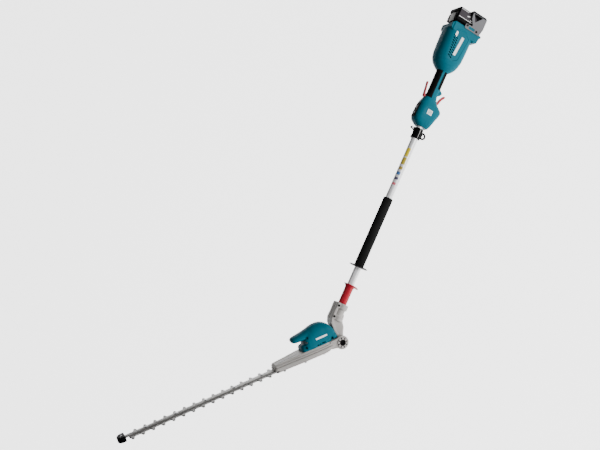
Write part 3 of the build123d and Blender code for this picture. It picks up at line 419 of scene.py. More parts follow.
# %% [markdown]
# ## Rear moulding
# The control housing, the handle and the motor housing are one pair of clamshell halves. Their
# cross-section changes all the way along, so the skin is a loft through superellipses: the power
# says how square each one is. The battery seat and the guard bump are solids sunk into the loft.

# %% The clamshell's skin
HANDLE_Z = 7
HANDLE_H = 40
HANDLE_W = 36
POLE_R = 12.7


def clamshell(grow=0.0):
    """The closed outer shape of both halves together."""
    bm = new_bmesh()
    loft(bm, [
        (170, -3, 44, 40, 3.0), (173, -2, 52, 45, 3.0), (183, 3, 71, 56, 3.2), (196, 4.5, 80, 62, 3.4),
        (212, 2.5, 85, 65.5, 3.5), (230, -1, 90, 66, 3.6), (244, -3.5, 92.5, 64, 3.5),
        (252, -2.5, 90, 60, 3.3), (260, 1, 80, 54, 3.1), (268, 4.5, 68, 48.5, 2.9), (277, 7, 56, 43, 2.7),
        (288, 8, 47, 39, 2.6), (302, HANDLE_Z, HANDLE_H + grow, HANDLE_W + grow, 2.5),
        (392, HANDLE_Z, HANDLE_H + grow, HANDLE_W + grow, 2.5),
        (397, 7.5, 43, 40, 2.4), (402, 8.5, 56, 52, 2.3), (410, 9.5, 74, 66, 2.3), (421, 10.5, 90, 78, 2.5),
        (436, 11.5, 101, 86, 2.8), (455, 11.5, 107, 90.5, 3.1), (490, 11.5, 109.5, 91.5, 3.3),
        (530, 11.5, 110.5, 91.5, 3.4), (556, 11.5, 110.5, 89, 3.4), (562, 11.5, 106, 86, 3.4),
    ], steps=72)
    return bm


bm = clamshell()
box(bm, (545, -43, -56), (579.6, 43, 57))
plate(bm, [(540, -40), (549, -54), (560, -59), (568, -60), (571, -64.5), (577.5, -64.5), (579.6, -60),
           (579.6, -30)],
      -41, 41)
plate(bm, [(543, 50), (549, 62), (556, 65.5), (571, 65.5), (579.6, 57), (579.6, 40)], -40, 40)
plate(bm, [(298, -8), (309, -20), (315, -25), (321, -25.5), (326, -20), (334, -8)], -9, 9)
shell = skin(bm, 1.25, 6)
# painted shade: thin dark teal strips stand in for the shade in the panel line's crease
for start, end in (((541, -21), (449, -10)), ((449, -10), (438, 7)), ((541, -21), (549, -6))):
    run = Vector(end) - Vector(start)
    across = Vector((-run.y, run.x)).normalized() * 0.7
    strip = [Vector(start) + across, Vector(end) + across, Vector(end) - across, Vector(start) - across]
    inked(shell, [tuple(corner) for corner in strip], 2, -1)
inked(shell, [(460, 17), (536, 9.5), (535, -1), (459, 6.5)], 1, -1)
inked(shell, [(528, 39), (548, 38), (546, 30), (526, 31)], 1, -1)
print("rear moulding:", len(shell.faces), "faces")

# %% [markdown]
# The two halves get their details by cutting: a row of slanted vent slots over the motor, the seat of the
# control panel, the throats of the two levers and the pole's bore, all with walls of painted near-black
# shade. The panel line is not a cut: it is a thin strip of painted shade drawn on the skin before the
# split.

# %% The two halves, with vents and recesses walled in painted shade
VENTS = 9
VENT_FIRST = 449
VENT_HEIGHT = 25
VENT_PITCH = 9.6
VENT_SHIFT = 5.6
VENT_LEAN = 62
VENT_LENGTH = 9.4
VENT_WIDTH = 4.2


def rear_cutters(side):
    """What is cut out of one half of the rear moulding; every cut wall is painted near-black shade."""
    tools = []
    near = -side * 46
    for step in range(VENTS):
        for shift in (-VENT_SHIFT, VENT_SHIFT):
            bm = new_bmesh()
            x = VENT_FIRST + VENT_PITCH * step + shift * cos(radians(VENT_LEAN))
            z = VENT_HEIGHT + step + shift * sin(radians(VENT_LEAN))
            slot_shape(bm, (x, near, z), VENT_LENGTH, VENT_WIDTH, 15, VENT_LEAN)
            tools.append(cutter(bm, TOOL, painted_recess_shade))
    for low, high in (((193.5, -15.8, 40.6), (250.5, 15.8, 60)), ((273, -7.5, 20), (291, 7.5, 60)),
                      ((269, -8.5, -60), (289, 8.5, -12))):
        tools.append(block(low, high, TOOL))
    bore = new_bmesh()
    turn(bore, [(150, 0), (150, POLE_R + 0.3), (186, POLE_R + 0.3), (186, 0)])
    tools.append(cutter(bore, TOOL, painted_recess_shade))
    return tools


for name, side in (("housing_left", 1), ("housing_right", -1)):
    bm = half(shell.copy(), -side)
    skin_half = piece(name + "_shell", bm, TOOL, "pole_unit", [teal, white_ink, seam_shadow],
                      [name])
    carve(skin_half, rear_cutters(side))
    print(skin_half.name, len(skin_half.data.polygons), "faces")
shell.free()

# %% [markdown]
# ## Soft overmould
# The handle is teal plastic with black rubber moulded over its top and bottom, which leaves a teal
# stripe along each side. The rubber is the handle's own section grown by a fraction of a
# millimetre, cut away where the stripe shows.

# %% Overmould on the handle
for name, low, high, cad in (("grip_top", 283, 397.5, "grip_upper"),
                             ("grip_bottom", 326, 396.5, "grip_lower")):
    bm = clamshell(grow=1.3)
    for spot, facing in (((low, 0, 0), (-1, 0, 0)), ((high, 0, 0), (1, 0, 0))):
        bmesh.ops.bisect_plane(bm, geom=bm.verts[:] + bm.edges[:] + bm.faces[:], plane_co=spot,
                               plane_no=facing, clear_outer=True)
    over = name == "grip_top"
    level = (0, 0, 12.5) if over else (0, 0, 2.5)
    facing = (0, 0, -1) if over else (0, 0, 1)
    bmesh.ops.bisect_plane(bm, geom=bm.verts[:] + bm.edges[:] + bm.faces[:], plane_co=level,
                           plane_no=facing, clear_outer=True)
    bmesh.ops.scale(bm, vec=(1, 1.012, 1.012), space=Matrix.Translation((0, 0, -HANDLE_Z)), verts=bm.verts)
    bmesh.ops.solidify(bm, geom=bm.faces[:], thickness=1.6)
    bmesh.ops.recalc_face_normals(bm, faces=bm.faces)
    piece(name, bm, TOOL, "pole_unit", overmould, [cad])

# %% [markdown]
# ## Controls
# A black panel on top holds two rubber buttons and a lamp. The lock-off lever and the trigger are
# thin curved red blades. Each turns on a pin inside the housing, so its hub is hidden.

# %% Control panel, buttons, lamp and levers
BUTTONS = {"power_button": 210, "mode_button": 232}
bm = new_bmesh()
box(bm, (194, -15.2, 38.5), (250, 15.2, 44.0))
soften(bm, 2.2, 4)
lean = Matrix.Translation((222, 0, 42)) @ Matrix.Rotation(0.05, 4, "Y") @ Matrix.Translation((-222, 0, -42))
panel_piece = piece("panel_face", bm, TOOL @ lean, "pole_unit", black_moulding,
                    ["control_panel"])
wells = []
for x in BUTTONS.values():
    bm = new_bmesh()
    turn(bm, [(40.4, 0), (40.4, 7.5), (50, 7.5), (50, 0)], "z", (x, 0, 0), 40)
    wells.append(cutter(bm, TOOL @ lean, black_moulding))
carve(panel_piece, wells)
for name, spot in BUTTONS.items():
    bm = new_bmesh()
    turn(bm, [(43, 0), (45.0, 0), (45.1, 4.6), (44.7, 6.2), (43.8, 6.9), (43, 7), (43, 0)], "z",
         (spot, 0, 0), 40)
    piece(name + "_cap", bm, TOOL @ lean, name, grey_moulding, [name])
    bm = new_bmesh()
    turn(bm, [(45.05, 2.2), (45.35, 2.3), (45.35, 3.3), (45.05, 3.4), (45.05, 2.2)], "z", (spot, 0, 0), 32)
    piece(name + "_mark", bm, TOOL @ lean, name, white_ink)
lamp = finish("lamp_lens", (0.05, 0.35, 0.08), 0.15, grain=900, depth=0.02, shine=0.9)
bm = new_bmesh()
turn(bm, [(43, 0), (44.6, 0), (44.5, 1.2), (44.2, 1.8), (43, 2), (43, 0)], "z", (221, 8.5, 0), 24)
piece("status_lamp", bm, TOOL @ lean, "pole_unit", lamp)


def lever(name, body, outline, half_width, cad):
    """A bent blade with rounded edges."""
    bm = new_bmesh()
    plate(bm, outline, -half_width, half_width)
    soften(bm, 0.9, 3, angle=0.5)
    return piece(name, bm, TOOL, body, red_moulding, [cad])


lever("trigger_blade", "trigger",
      [(274, -14), (274, -26), (277, -30), (288, -32), (300, -37), (313, -45.5), (318, -43), (317, -38.5),
       (303, -30), (290, -25.5), (282, -23), (282.5, -14)], 7, "trigger")
lever("lock_off_blade", "lock_off_lever",
      [(278.5, 26), (279, 37.5), (283, 41), (300, 43), (318, 45.4), (336, 48.4), (338, 46.8), (337, 43.6),
       (318, 40.4), (301, 37.6), (288, 35), (286.5, 32), (286, 26)], 6, "lock_off_lever")

# %% [markdown]
# ## Battery and its guard
# The pack is a black block that slides up its rails. Its case and lid meet at a shadow line, the
# side carries a grey label, and the release button fills the upper end. A grey guard is screwed to
# the housing and wraps the pack's lower corner.

# %% Battery pack
bm = new_bmesh()
box(bm, (588, -36.6, -52.6), (621.6, 36.6, 59.6))
soften(bm, 5, 4)
pack = new_bmesh()
box(pack, (582, -30.5, -50), (590, 30.5, 50))
soften(pack, 1.5, 2)
absorb(bm, pack)
case = piece("pack_case", bm, TOOL, "battery", black_moulding, ["battery_case"])
# the walls of the release button's seat are painted near-black shade
carve(case, [block((586.5, -16.9, 50.5), (619.5, 16.9, 70), TOOL)])
bm = new_bmesh()
box(bm, (622.2, -37.4, -52.9), (642.8, 37.4, 59.9))
soften(bm, 6, 5)
piece("pack_lid", bm, TOOL, "battery", black_moulding, ["battery_lid"])
bm = new_bmesh()
plate(bm, [(587.5, 56.2), (618.5, 56.2), (618.5, 61.5), (606, 60.9), (587.5, 59)], -16.1, 16.1)
soften(bm, 1.2, 3)
piece("release_button", bm, TOOL, "battery_button", light_moulding, ["battery_button"])
for side, name in ((-1, "left"), (1, "right")):
    bm = new_bmesh()
    low, high = sorted((side * 37.0, side * 37.9))
    plate(bm, [(603, -22), (603, 54), (637, 54), (637, -6), (627, -22)], low, high)
    soften(bm, 0.3, 2)
    piece("pack_label_" + name, bm, TOOL, "battery", label_print_and_groove_shade)
    low, high = sorted((side * 37.5, side * 38.15))
    bm = new_bmesh()
    for start, end, width in (((604.5, -20), (604.5, 52.5), 1.6), ((635.4, 20), (635.4, 52.5), 1.6),
                              ((627, -2), (620, 18), 3.6), ((613, -17), (610, 2), 3.0)):
        bar_between(bm, start, end, width, low, high)
    piece("pack_stripes_" + name, bm, TOOL, "battery", white_ink)

# %% Battery guard
GUARD_Y = 43.2
guard = new_bmesh()
for side in (-1, 1):
    low, high = sorted((side * GUARD_Y, side * (GUARD_Y + 3)))
    plate(guard, [(573, -49), (573, 14), (576, 17), (589, 17), (592, 14), (592.5, -9), (596, -11), (624, 6),
                  (629, 8), (645, 8), (648, 5), (648, -53), (643, -58), (602, -58), (576, -51.5)], low,
                  high)
box(guard, (644.6, -GUARD_Y - 0.5, -57.6), (647.9, GUARD_Y + 0.5, 7.8))
box(guard, (600, -GUARD_Y - 0.5, -58), (647, GUARD_Y + 0.5, -54.8))
guard_skin = skin(guard, 0.85, 3)
guard_piece = piece("guard_frame", guard_skin, TOOL, "pole_unit", grey_moulding,
                    ["battery_guard"])
# the window's walls are painted near-black shade; the channel's walls stay teal
window = new_bmesh()
plate(window, [(611, -14), (641, 1), (641, -40)], -60, 60)
channel = new_bmesh()
box(channel, (577.5, 46.0 - 92.7, -26), (587.5, -45.4, 1))
box(channel, (577.5, 45.4, -26), (587.5, 46.7, 1))
carve(guard_piece, [cutter(window, TOOL, painted_recess_shade), cutter(channel, TOOL, teal)])
bm = new_bmesh()
plate(bm, [(622, 2.4), (629, 4.8), (642.6, 4.8), (642.6, -52), (648.8, -52), (648.8, 6), (646, 9.4),
           (628.5, 9.4), (621, 6)], -46.9, 46.9)
soften(bm, 0.8, 3)
piece("guard_edge", bm, TOOL, "pole_unit", black_moulding)


def socket_screw(bm, centre, facing, head_r, head_t, socket_r):
    """A cap screw's head with a hexagon socket, standing on a face."""
    made = new_bmesh()
    turn(made, [(0, 0), (0, head_r), (head_t - 0.5, head_r), (head_t, head_r - 0.5), (head_t, socket_r),
                (head_t - 1.6, socket_r), (head_t - 1.6, 0)], "z", steps=28)
    lean = Vector((0, 0, 1)).rotation_difference(Vector(facing)).to_matrix().to_4x4()
    bmesh.ops.transform(made, matrix=Matrix.Translation(centre) @ lean, verts=made.verts)
    absorb(bm, made)


bm = new_bmesh()
for side in (-1, 1):
    for x, z in ((586, 9), (582, -35)):
        socket_screw(bm, (x, side * 46.1, z), (0, side, 0), 4.1, 2.2, 2)
piece("guard_screw_heads", bm, TOOL, "pole_unit", black_screw, ["guard_screws"])
bm = new_bmesh()
for side in (-1, 1):
    for x, z, y in ((246, -36, 25.6), (196, -26, 23.8)):
        socket_screw(bm, (x, side * (y - 1.6), z), (0, side, 0), 3.2, 2.0, 1.6)
piece("housing_screw_heads", bm, TOOL, "pole_unit", black_screw, ["housing_screws"])

# %% [markdown]
# ## Pole, front grip, collar and hanger
# Round things are profiles spun about the pole's axis. The foam sleeve is straight between its rolled ends,
# and the red collar flares into a lopsided flange.

# %% Pole, label, grip and flange
bm = new_bmesh()
turn(bm, [(-606, 11.2), (-606, 12.4), (-605.6, POLE_R), (195.6, POLE_R), (196, 12.4), (196, 11.2),
          (-606, 11.2)],
     steps=96)
piece("pole", bm, TOOL, "pole_unit", bright_tube, ["pole_tube"])
LABELS = (("yellow", (0.80, 0.62, 0.02), 44, 78), ("gold", (0.55, 0.42, 0.04), 12, 39),
          ("ochre", (0.42, 0.30, 0.06), -9, 2), ("blue", (0.05, 0.16, 0.42), -31, -19),
          ("dark", (0.06, 0.05, 0.12), -50, -41), ("pink", (0.72, 0.16, 0.2), -72, -63))
for name, colour, start, stop in LABELS:
    ink = finish("label_" + name, colour, 0.4, grain=1500, depth=0.03, mottle=0.05)
    bm = new_bmesh()
    turn(bm, [(start, POLE_R - 0.2), (start, POLE_R + 0.12), (stop, POLE_R + 0.12), (stop, POLE_R - 0.2),
              (start, POLE_R - 0.2)], steps=96)
    for facing in ((0, cos(radians(-18)), -sin(radians(-18))), (0, -sin(radians(8)), -cos(radians(8)))):
        trim(bm, (0, 0, 0), facing)
    piece("pole_label_" + name, bm, TOOL, "pole_unit", ink)
bm = new_bmesh()
turn(bm, [(-399, 12.8), (-399, 16), (-398.2, 17.4), (-396, 18), (-262, 18), (-127, 18), (-124.9, 17.4),
          (-124.1, 16), (-124, 12.8), (-399, 12.8)], steps=96)
piece("front_grip", bm, TOOL, "pole_unit", foam, ["foam_grip"])
bm = new_bmesh()
turn(bm, [(-402, 12.8), (-404, 15), (-402.4, 17), (-402, 33.5), (-401.4, 34.8), (-400.4, 35),
          (-399.5, 34.4), (-399.2, 33), (-399.2, 12.8), (-402, 12.8)], steps=96)
piece("grip_disc", bm, TOOL, "pole_unit", black_moulding, ["grip_flange"])

# %% Red collar with its flared flange
bm = new_bmesh()
turn(bm, [(-548, 12.8), (-548, 15), (-547.4, 15.5), (-490, 15.5), (-484, 16.4), (-479, 19), (-476, 24),
          (-474.6, 28.8), (-474, 29), (-473.4, 28.6), (-475, 22), (-476, 12.8), (-548, 12.8)], steps=80)
for vert in bm.verts:
    flare = max(0, (vert.co.yz.length - 19) / 10)
    if vert.co.z < 0:
        vert.co.x -= flare * 6 * (vert.co.z / 29) ** 2
    vert.co.z -= 4.2 * flare
    vert.co.y *= 1 - 0.17 * flare
for count in range(14):
    ridge = -543 + 4 * count
    turn(bm, [(ridge, 15.3), (ridge + 0.4, 15.9), (ridge + 1.2, 15.9), (ridge + 1.6, 15.3), (ridge, 15.3)],
         steps=80)
piece("red_collar", bm, TOOL, "pole_unit", red_moulding, ["shaft_collar"])

# %% Hanger clamp and its eye
bm = new_bmesh()
turn(bm, [(122.2, 12.8), (122.2, 17.6), (123.2, 18.4), (129, 18.4), (130, 17.2), (154, 17.2), (155, 18.4),
          (160.8, 18.4), (161.8, 17.6), (161.8, 12.8), (122.2, 12.8)], steps=72)
clamp = new_bmesh()
plate(clamp, [(144, 15), (160, 15), (160, 31), (156.5, 34), (153, 33), (150, 21.5)], -5.6, 5.6)
plate(clamp, [(127, -16), (132, -23), (154, -23), (159, -16)], -3, 3)
soften(clamp, 1.2, 3)
absorb(bm, clamp)
piece("hanger_top", bm, TOOL, "pole_unit", black_moulding,
      ["hanger_upper", "hanger_lower"])
bm = new_bmesh()
turn(bm, [(-2.9, 10), (-2.4, 12.2), (-1, 13.4), (1, 13.4), (2.4, 12.2), (2.9, 10), (2.4, 7.6), (1, 6.6),
          (-1, 6.6), (-2.4, 7.6), (-2.9, 10)], "y", (143, 0, -25.5), 56)
piece("hanger_eye", bm, TOOL, "pole_unit", black_moulding)
bm = new_bmesh()
box(bm, (124, -18.9, -1.2), (160, -17.6, 0.2))
box(bm, (124, 17.6, -1.2), (160, 18.9, 0.2))
soften(bm, 0.3, 2)
piece("hanger_seam", bm, TOOL, "pole_unit", light_moulding)
bm = new_bmesh()
socket_screw(bm, (155, -5.6, 28), (0, -1, 0), 3.4, 2.2, 1.7)
socket_screw(bm, (155, 5.6, 28), (0, 1, 0), 3.4, 2.2, 1.7)
piece("hanger_screw_heads", bm, TOOL, "pole_unit", turned_steel, ["hanger_screws"])

# %% [markdown]
# ## The cast arm
# The pole's front end is clamped in a casting. Two bolted bands stand out from a thinner barrel,
# a flange runs along the upper side, and a bulging neck leads down to the round hub that the head
# turns on. The parts are sunk into each other and remeshed as one silver casting.

# %% Arm casting
ARM_NECK = [(-580, 22), (-614, 22), (-634, 10), (-652, -16), (-668, -38), (-656, -54), (-640, -45),
            (-623, -39), (-606, -25), (-580, -22)]
ARM_FLANGE = [(-548.5, 15), (-548.5, 25.6), (-613, 25.6), (-630, 18), (-646, 0), (-664, -25), (-656, -30),
              (-638, -6), (-624, 8), (-610, 15)]
PIVOT_TOOL = (-676, 0, -45.5)
arm = new_bmesh()
neck = new_bmesh()
plate(neck, ARM_NECK, -16.5, 16.5)
soften(neck, 9, 5, angle=1.2)
absorb(arm, neck)
flange = new_bmesh()
plate(flange, ARM_FLANGE, -21.5, 21.5)
soften(flange, 2, 2, angle=0.9)
absorb(arm, flange)
turn(arm, [(-613, 12.9), (-613, 22), (-611, 25), (-595, 25.4), (-593.6, 22.4), (-592.8, 20.6),
           (-570.2, 20.6), (-569.4, 22.4), (-568, 25.4), (-551, 25.4), (-548.6, 24), (-548.6, 12.9),
           (-613, 12.9)], steps=96)
turn(arm, [(-19.6, 0), (-19.6, 20.5), (-18, 22), (18, 22), (19.6, 20.5), (19.6, 0)], "y", PIVOT_TOOL, 80)
for x in (-560, -602):
    box(arm, (x - 8.5, -22.8, 10), (x + 8.5, 22.8, 25.4))
arm_skin = skin(arm, 0.95, 3)
arm_piece = piece("arm_casting", arm_skin, TOOL, "pole_unit", silver_casting,
                  ["arm_housing"])
# the walls of the clamp slit and the pole mouth are painted near-black shade
slit = new_bmesh()
box(slit, (-614, -1.1, 12), (-547, 1.1, 30))
mouth = new_bmesh()
turn(mouth, [(-560, 0), (-560, 15.9), (-540, 15.9), (-540, 0)])
carve(arm_piece, [cutter(slit, TOOL, painted_recess_shade), cutter(mouth, TOOL, painted_recess_shade)])
bm = new_bmesh()
for x in (-560, -602):
    socket_screw(bm, (x, -22.6, 19), (0, -1, 0), 4.2, 3.6, 2.1)
    turn(bm, [(22, 0), (22, 3.6), (25, 3.6), (25, 0)], "y", (x, 0, 19), 6)
piece("arm_bolt_heads", bm, TOOL, "pole_unit", black_screw, ["arm_bolts"])

# %% [markdown]
# ## Gear case
# The case is drawn as layers whose outlines differ a little, which leaves the two long grooves
# down each side. Planes then cut the sloping back, and the cheeks hold the arm's hub between them.

# %% Gear case, base plate and hub
CASE_FRONT = 264
CASE_PLAN = [(24.5, 37.5), (60, 41.5), (100, 41), (150, 37.5), (215, 29.6), (CASE_FRONT - 6, 26.8),
             (CASE_FRONT, 23)]


def case_layer(bm, low, high, inset):
    """A slab of the gear case, drawn in a little from its full outline."""
    near = [(f - (inset if f == CASE_FRONT else 0), s - inset) for f, s in CASE_PLAN]
    plate(bm, near + [(f, -s) for f, s in reversed(near)], low, high, "xy")


case = new_bmesh()
for low, high, inset in ((-8.9, -3.2, 0.2), (-4, -0.6, 4.4), (-1.4, 5.4, 0), (5, 8.6, 4.2), (7.8, 13, 1.4),
                         (12.5, 21.8, 4.4)):
    case_layer(case, low, high, inset)
SLOPES = (((150, 0, 21.8), (4.5, 0, 114)), ((257, 0, 17.4), (1, 0, 0.8)), ((55, 0, -8.9), (-0.42, 0, -1)))
for spot, facing in SLOPES:
    trim(case, spot, facing)
for side in (-1, 1):
    low, high = sorted((side * 20.7, side * 37.8))
    turn(case, [(low, 0), (low, 24), (low + 1, 25), (high - 1, 25), (high, 24), (high, 0)], "y", (0, 0, 0),
         80)
    plate(case, [(0, -21.5), (30, -10.5), (44, -8.5), (44, 20.5), (0, 21.5)], low, high)
plate(case, [(70, 5), (254, 5), (254, 17.6), (150, 22), (70, 22)], -11, 11)
case_skin = skin(case, 0.95, 3)
case_piece = piece("gear_casting", case_skin, HEAD, "head", silver_casting, ["gear_case"])
seat = new_bmesh()
turn(seat, [(-20.6, 0), (-20.6, 26.4), (20.6, 26.4), (20.6, 0)], "y", (0, 0, 0), 80)
# the blade ways, the mouth and the bar way get walls of painted near-black shade
blade_way = block((120, -22.5, -12), (290, 22.5, -3.3), HEAD)
mouth = block((252.8, -50, -12), (290, 50, -3.3), HEAD)
bar_way = block((200, -13.1, -3.5), (290, 13.1, -0.3), HEAD)
# the walls of the two grooves in the top slope are painted dark grey shade
rails = new_bmesh()
for side in (-1, 1):
    box(rails, (172, side * 13 - 1.2, 6), (252, side * 13 + 1.2, 30))
trim(rails, (150, 0, 19.6), (-4.5, 0, -114))
carve(case_piece, [cutter(seat, HEAD, silver_casting), cutter(rails, HEAD, label_print_and_groove_shade), blade_way, mouth,
                   bar_way])
bm = new_bmesh()
BASE_PLAN = [(62, 39.5), (150, 35.5), (215, 28.6), (258, 26), (262, 22)]
plate(bm, BASE_PLAN + [(f, -s) for f, s in reversed(BASE_PLAN)], -11.2, -8.9, "xy")
for middle in (95, 185):
    box(bm, (middle, -6, -12.4), (middle + 60, 6, -11))
soften(bm, 0.7, 3)
piece("base_plate", bm, HEAD, "head", silver_casting, ["gear_case_base"])
bm = new_bmesh()
for f, s in ((77, 30), (152, 32), (233, 25.8)):
    for side in (-1, 1):
        socket_screw(bm, (f, side * s, -11.1), (0, 0, -1), 4, 3.2, 2)
piece("base_screw_heads", bm, HEAD, "head", black_screw, ["base_screws"])

# %% [markdown]
# The hub carries the notched index ring that the tilt lever locks into. It is a turned ring with eight
# slots milled across its face, and a black plug closes its middle. The walls of the slots are painted dark
# grey shade.

# %% Index ring and plugs
bm = new_bmesh()
turn(bm, [(37.9, 11.4), (41, 11.4), (41.5, 12), (41.5, 18.6), (40.8, 19.4), (37.9, 19.4), (37.9, 11.4)],
     "y", (0, 0, 0), 96)
index_ring = piece("index_ring", bm, HEAD, "head", silver_casting, ["hub_ring"])
# the notch walls are painted dark grey shade
notches = []
for step in range(8):
    bm = new_bmesh()
    verts = box(bm, (12.6, 39.4, -2.3), (21, 43, 2.3))
    bmesh.ops.rotate(bm, cent=(0, 0, 0), matrix=Matrix.Rotation(step * pi / 4, 3, "Y"), verts=verts)
    notches.append(cutter(bm, HEAD, label_print_and_groove_shade))
carve(index_ring, notches)
bm = new_bmesh()
turn(bm, [(38, 0), (38, 12), (41.2, 12), (42, 11), (42, 6.2), (40.4, 5.6), (40.4, 0)], "y", (0, 0, 0), 8)
turn(bm, [(-38, 0), (-38, 12), (-40.4, 12), (-41, 11.2), (-41, 0)], "y", (0, 0, 0), 48)
bmesh.ops.recalc_face_normals(bm, faces=bm.faces)
piece("hub_plugs", bm, HEAD, "head", black_moulding, ["hub_caps"])

# %% [markdown]
# ## Head cover
# The teal cover is a dome with a hooked grip at its front, so a gloved hand can tip the head. The
# dome, the grip's bill and the nose below it are three lofts with one skin. The cover is moulded
# in two halves, so the skin is cut down the middle after the notch between bill and nose is left.

# %% Cover halves
COVER_SCREWS = ((30, 31), (119, 66), (132, 33))
cover = new_bmesh()
loft(cover, [(12, 46, 12, 52, 2.5), (13.5, 47, 28, 64, 2.7), (18, 49, 42, 71, 2.8), (26, 51, 62, 74, 2.7),
             (38, 50, 82, 75.5, 2.6), (50, 48, 96, 75, 2.5), (62, 47, 102, 76, 2.5),
             (78, 47, 101.5, 76, 2.5), (92, 46, 98, 76, 2.5), (106, 44, 92, 75, 2.5),
             (118, 43, 76, 72, 2.5), (126, 42, 56, 66, 2.4), (130, 41, 36, 58, 2.3)], steps=80)
loft(cover, [(84, 74, 40, 60, 2.2), (104, 73.5, 36, 58, 2.2), (122, 71.5, 32, 55, 2.3),
             (140, 71, 28, 53, 2.3), (156, 70.5, 25, 50, 2.3), (165, 70.5, 22, 45, 2.2),
             (170, 70.5, 16, 36, 2.1), (172, 70.5, 8, 22, 2)], steps=64)
loft(cover, [(100, 24, 40, 74, 3), (128, 25, 38, 70, 3), (139, 25, 36, 66, 2.8), (144.5, 25.5, 30, 60, 2.5),
             (147, 26, 18, 48, 2.3)], steps=64)
loft(cover, [(9.5, 33, 12, 54, 3), (10.6, 34, 24, 66, 3), (16, 36, 32, 72, 3), (44, 42, 44, 75, 3)],
     steps=64)
cover_skin = skin(cover, 0.95, 6)
finger = new_bmesh()
turn(finger, [(-60, 0), (-60, 6.6), (60, 6.6), (60, 0)], "y", (130, 0, 50.2), 48)
bmesh.ops.scale(finger, vec=(1.35, 1, 0.9), space=Matrix.Translation((-130, 0, -50.2)), verts=finger.verts)
cut = bmesh.ops.bisect_plane(cover_skin,
                             geom=cover_skin.verts[:] + cover_skin.edges[:] + cover_skin.faces[:],
                             plane_co=(0, 0, 22.2), plane_no=(0, 0, -1), clear_outer=True)
rim = [item for item in cut["geom_cut"] if isinstance(item, bmesh.types.BMEdge)]
bmesh.ops.holes_fill(cover_skin, edges=rim, sides=0)
inked(cover_skin, [(46, 47.5), (91, 47.5), (91, 54), (46, 54)], 1, 1)
finger_mesh = bpy.data.meshes.new("finger")
finger.to_mesh(finger_mesh)
finger.free()
for name, side, cad in (("cover_near", 1, "cover_left"), ("cover_far", -1, "cover_right")):
    bm = half(cover_skin.copy(), side, 0.08)
    cover_piece = piece(name, bm, HEAD, "head", [teal, white_ink], [cad])
    tools = []
    hook = new_bmesh()
    hook.from_mesh(finger_mesh)
    tools.append(cutter(hook, HEAD, teal))
    # the lever hole and the three slots get walls of painted near-black shade
    tools.append(block((2, -10, 34), (24, 10, 56), HEAD))
    for f, h in COVER_SCREWS:
        well = new_bmesh()
        low, high = sorted((side * 27, side * 60))
        turn(well, [(low, 0), (low, 4.6), (high, 4.9), (high, 0)], "y", (f, 0, h), 32)
        tools.append(cutter(well, HEAD, teal))
    for f, h, length in ((66, 28.5, 15), (80, 27.5, 7), (89, 27, 7)):
        slot = new_bmesh()
        slot_shape(slot, (f, side * 37, h), length, 4.4, 9, 0)
        tools.append(cutter(slot, HEAD, painted_recess_shade))
    carve(cover_piece, tools)
    print(cover_piece.name, len(cover_piece.data.polygons), "faces")
cover_skin.free()
bm = new_bmesh()
for f, h in COVER_SCREWS:
    socket_screw(bm, (f, 24.6, h), (0, 1, 0), 4, 2.6, 2)
piece("cover_screw_heads", bm, HEAD, "head", black_screw, ["cover_screws"])
bm = new_bmesh()
plate(bm, [(11.5, 40), (17, 37), (21, 45), (16, 50.5), (8, 49)], -9, 9)
soften(bm, 1.2, 3)
for step in range(5):
    box(bm, (8.4, -6.6 + 3 * step, 43), (9.8, -5.4 + 3 * step, 48.5))
piece("tilt_catch", bm, HEAD, "tilt_lever", black_moulding, ["tilt_lever"])

# %% [markdown]
# ## Blades
# Two blades slide on each other under a guide bar. Each tooth is a plate whose faces slope, as
# grinding leaves them, and its foot flares into a rounded gullet. The near and far rows stand half
# a pitch apart.

# %% Blades, guide bar, bolts and tip guard
PITCH = 36.1
TEETH = 15
FIRST = 292
BLADE_END = 807
BODY_HALF = 21
TOOTH = [(-14.5, -1.5), (-12, 0.2), (-9.8, 1.6), (-8.2, 4.4), (-6.9, 9), (-4.2, 20.6), (-3.2, 22),
         (3.2, 22), (4.2, 20.6), (6.9, 9), (8.2, 4.4), (9.8, 1.6), (12, 0.2), (14.5, -1.5)]


def blade(name, body, low, high, up):
    """A double-sided blade whose teeth slope on the side that faces away from the other blade."""
    bm = new_bmesh()
    near = [(150, 14), (240, 14), (242, BODY_HALF), (BLADE_END - 3, BODY_HALF), (BLADE_END, BODY_HALF - 3)]
    body_outline = near + [(f, -s) for f, s in reversed(near)]
    plate(bm, body_outline, low, high, "xy")
    for side, start in ((1, FIRST), (-1, FIRST - PITCH / 2)):
        for step in range(TEETH):
            tip = start + PITCH * step
            base = low if up else high
            top = high if up else low
            verts = plate(bm, [(min(tip + a, BLADE_END - 0.5), side * (BODY_HALF + b)) for a, b in TOOTH],
                          min(low, high), max(low, high), "xy")
            for vert in verts:
                if abs(vert.co.z - top) < 0.01 and abs(vert.co.y) > 20.5:
                    vert.co.x = tip + (vert.co.x - tip) * 0.72
                    vert.co.y -= side * 1.6
            for face in bm.faces:
                if all(vert in verts for vert in face.verts) and abs(face.normal.z) < 0.97:
                    face.material_index = 1
    return piece(name, bm, HEAD, body, [blade_steel, ground_edge], smooth=20,
                 replaces=[body])


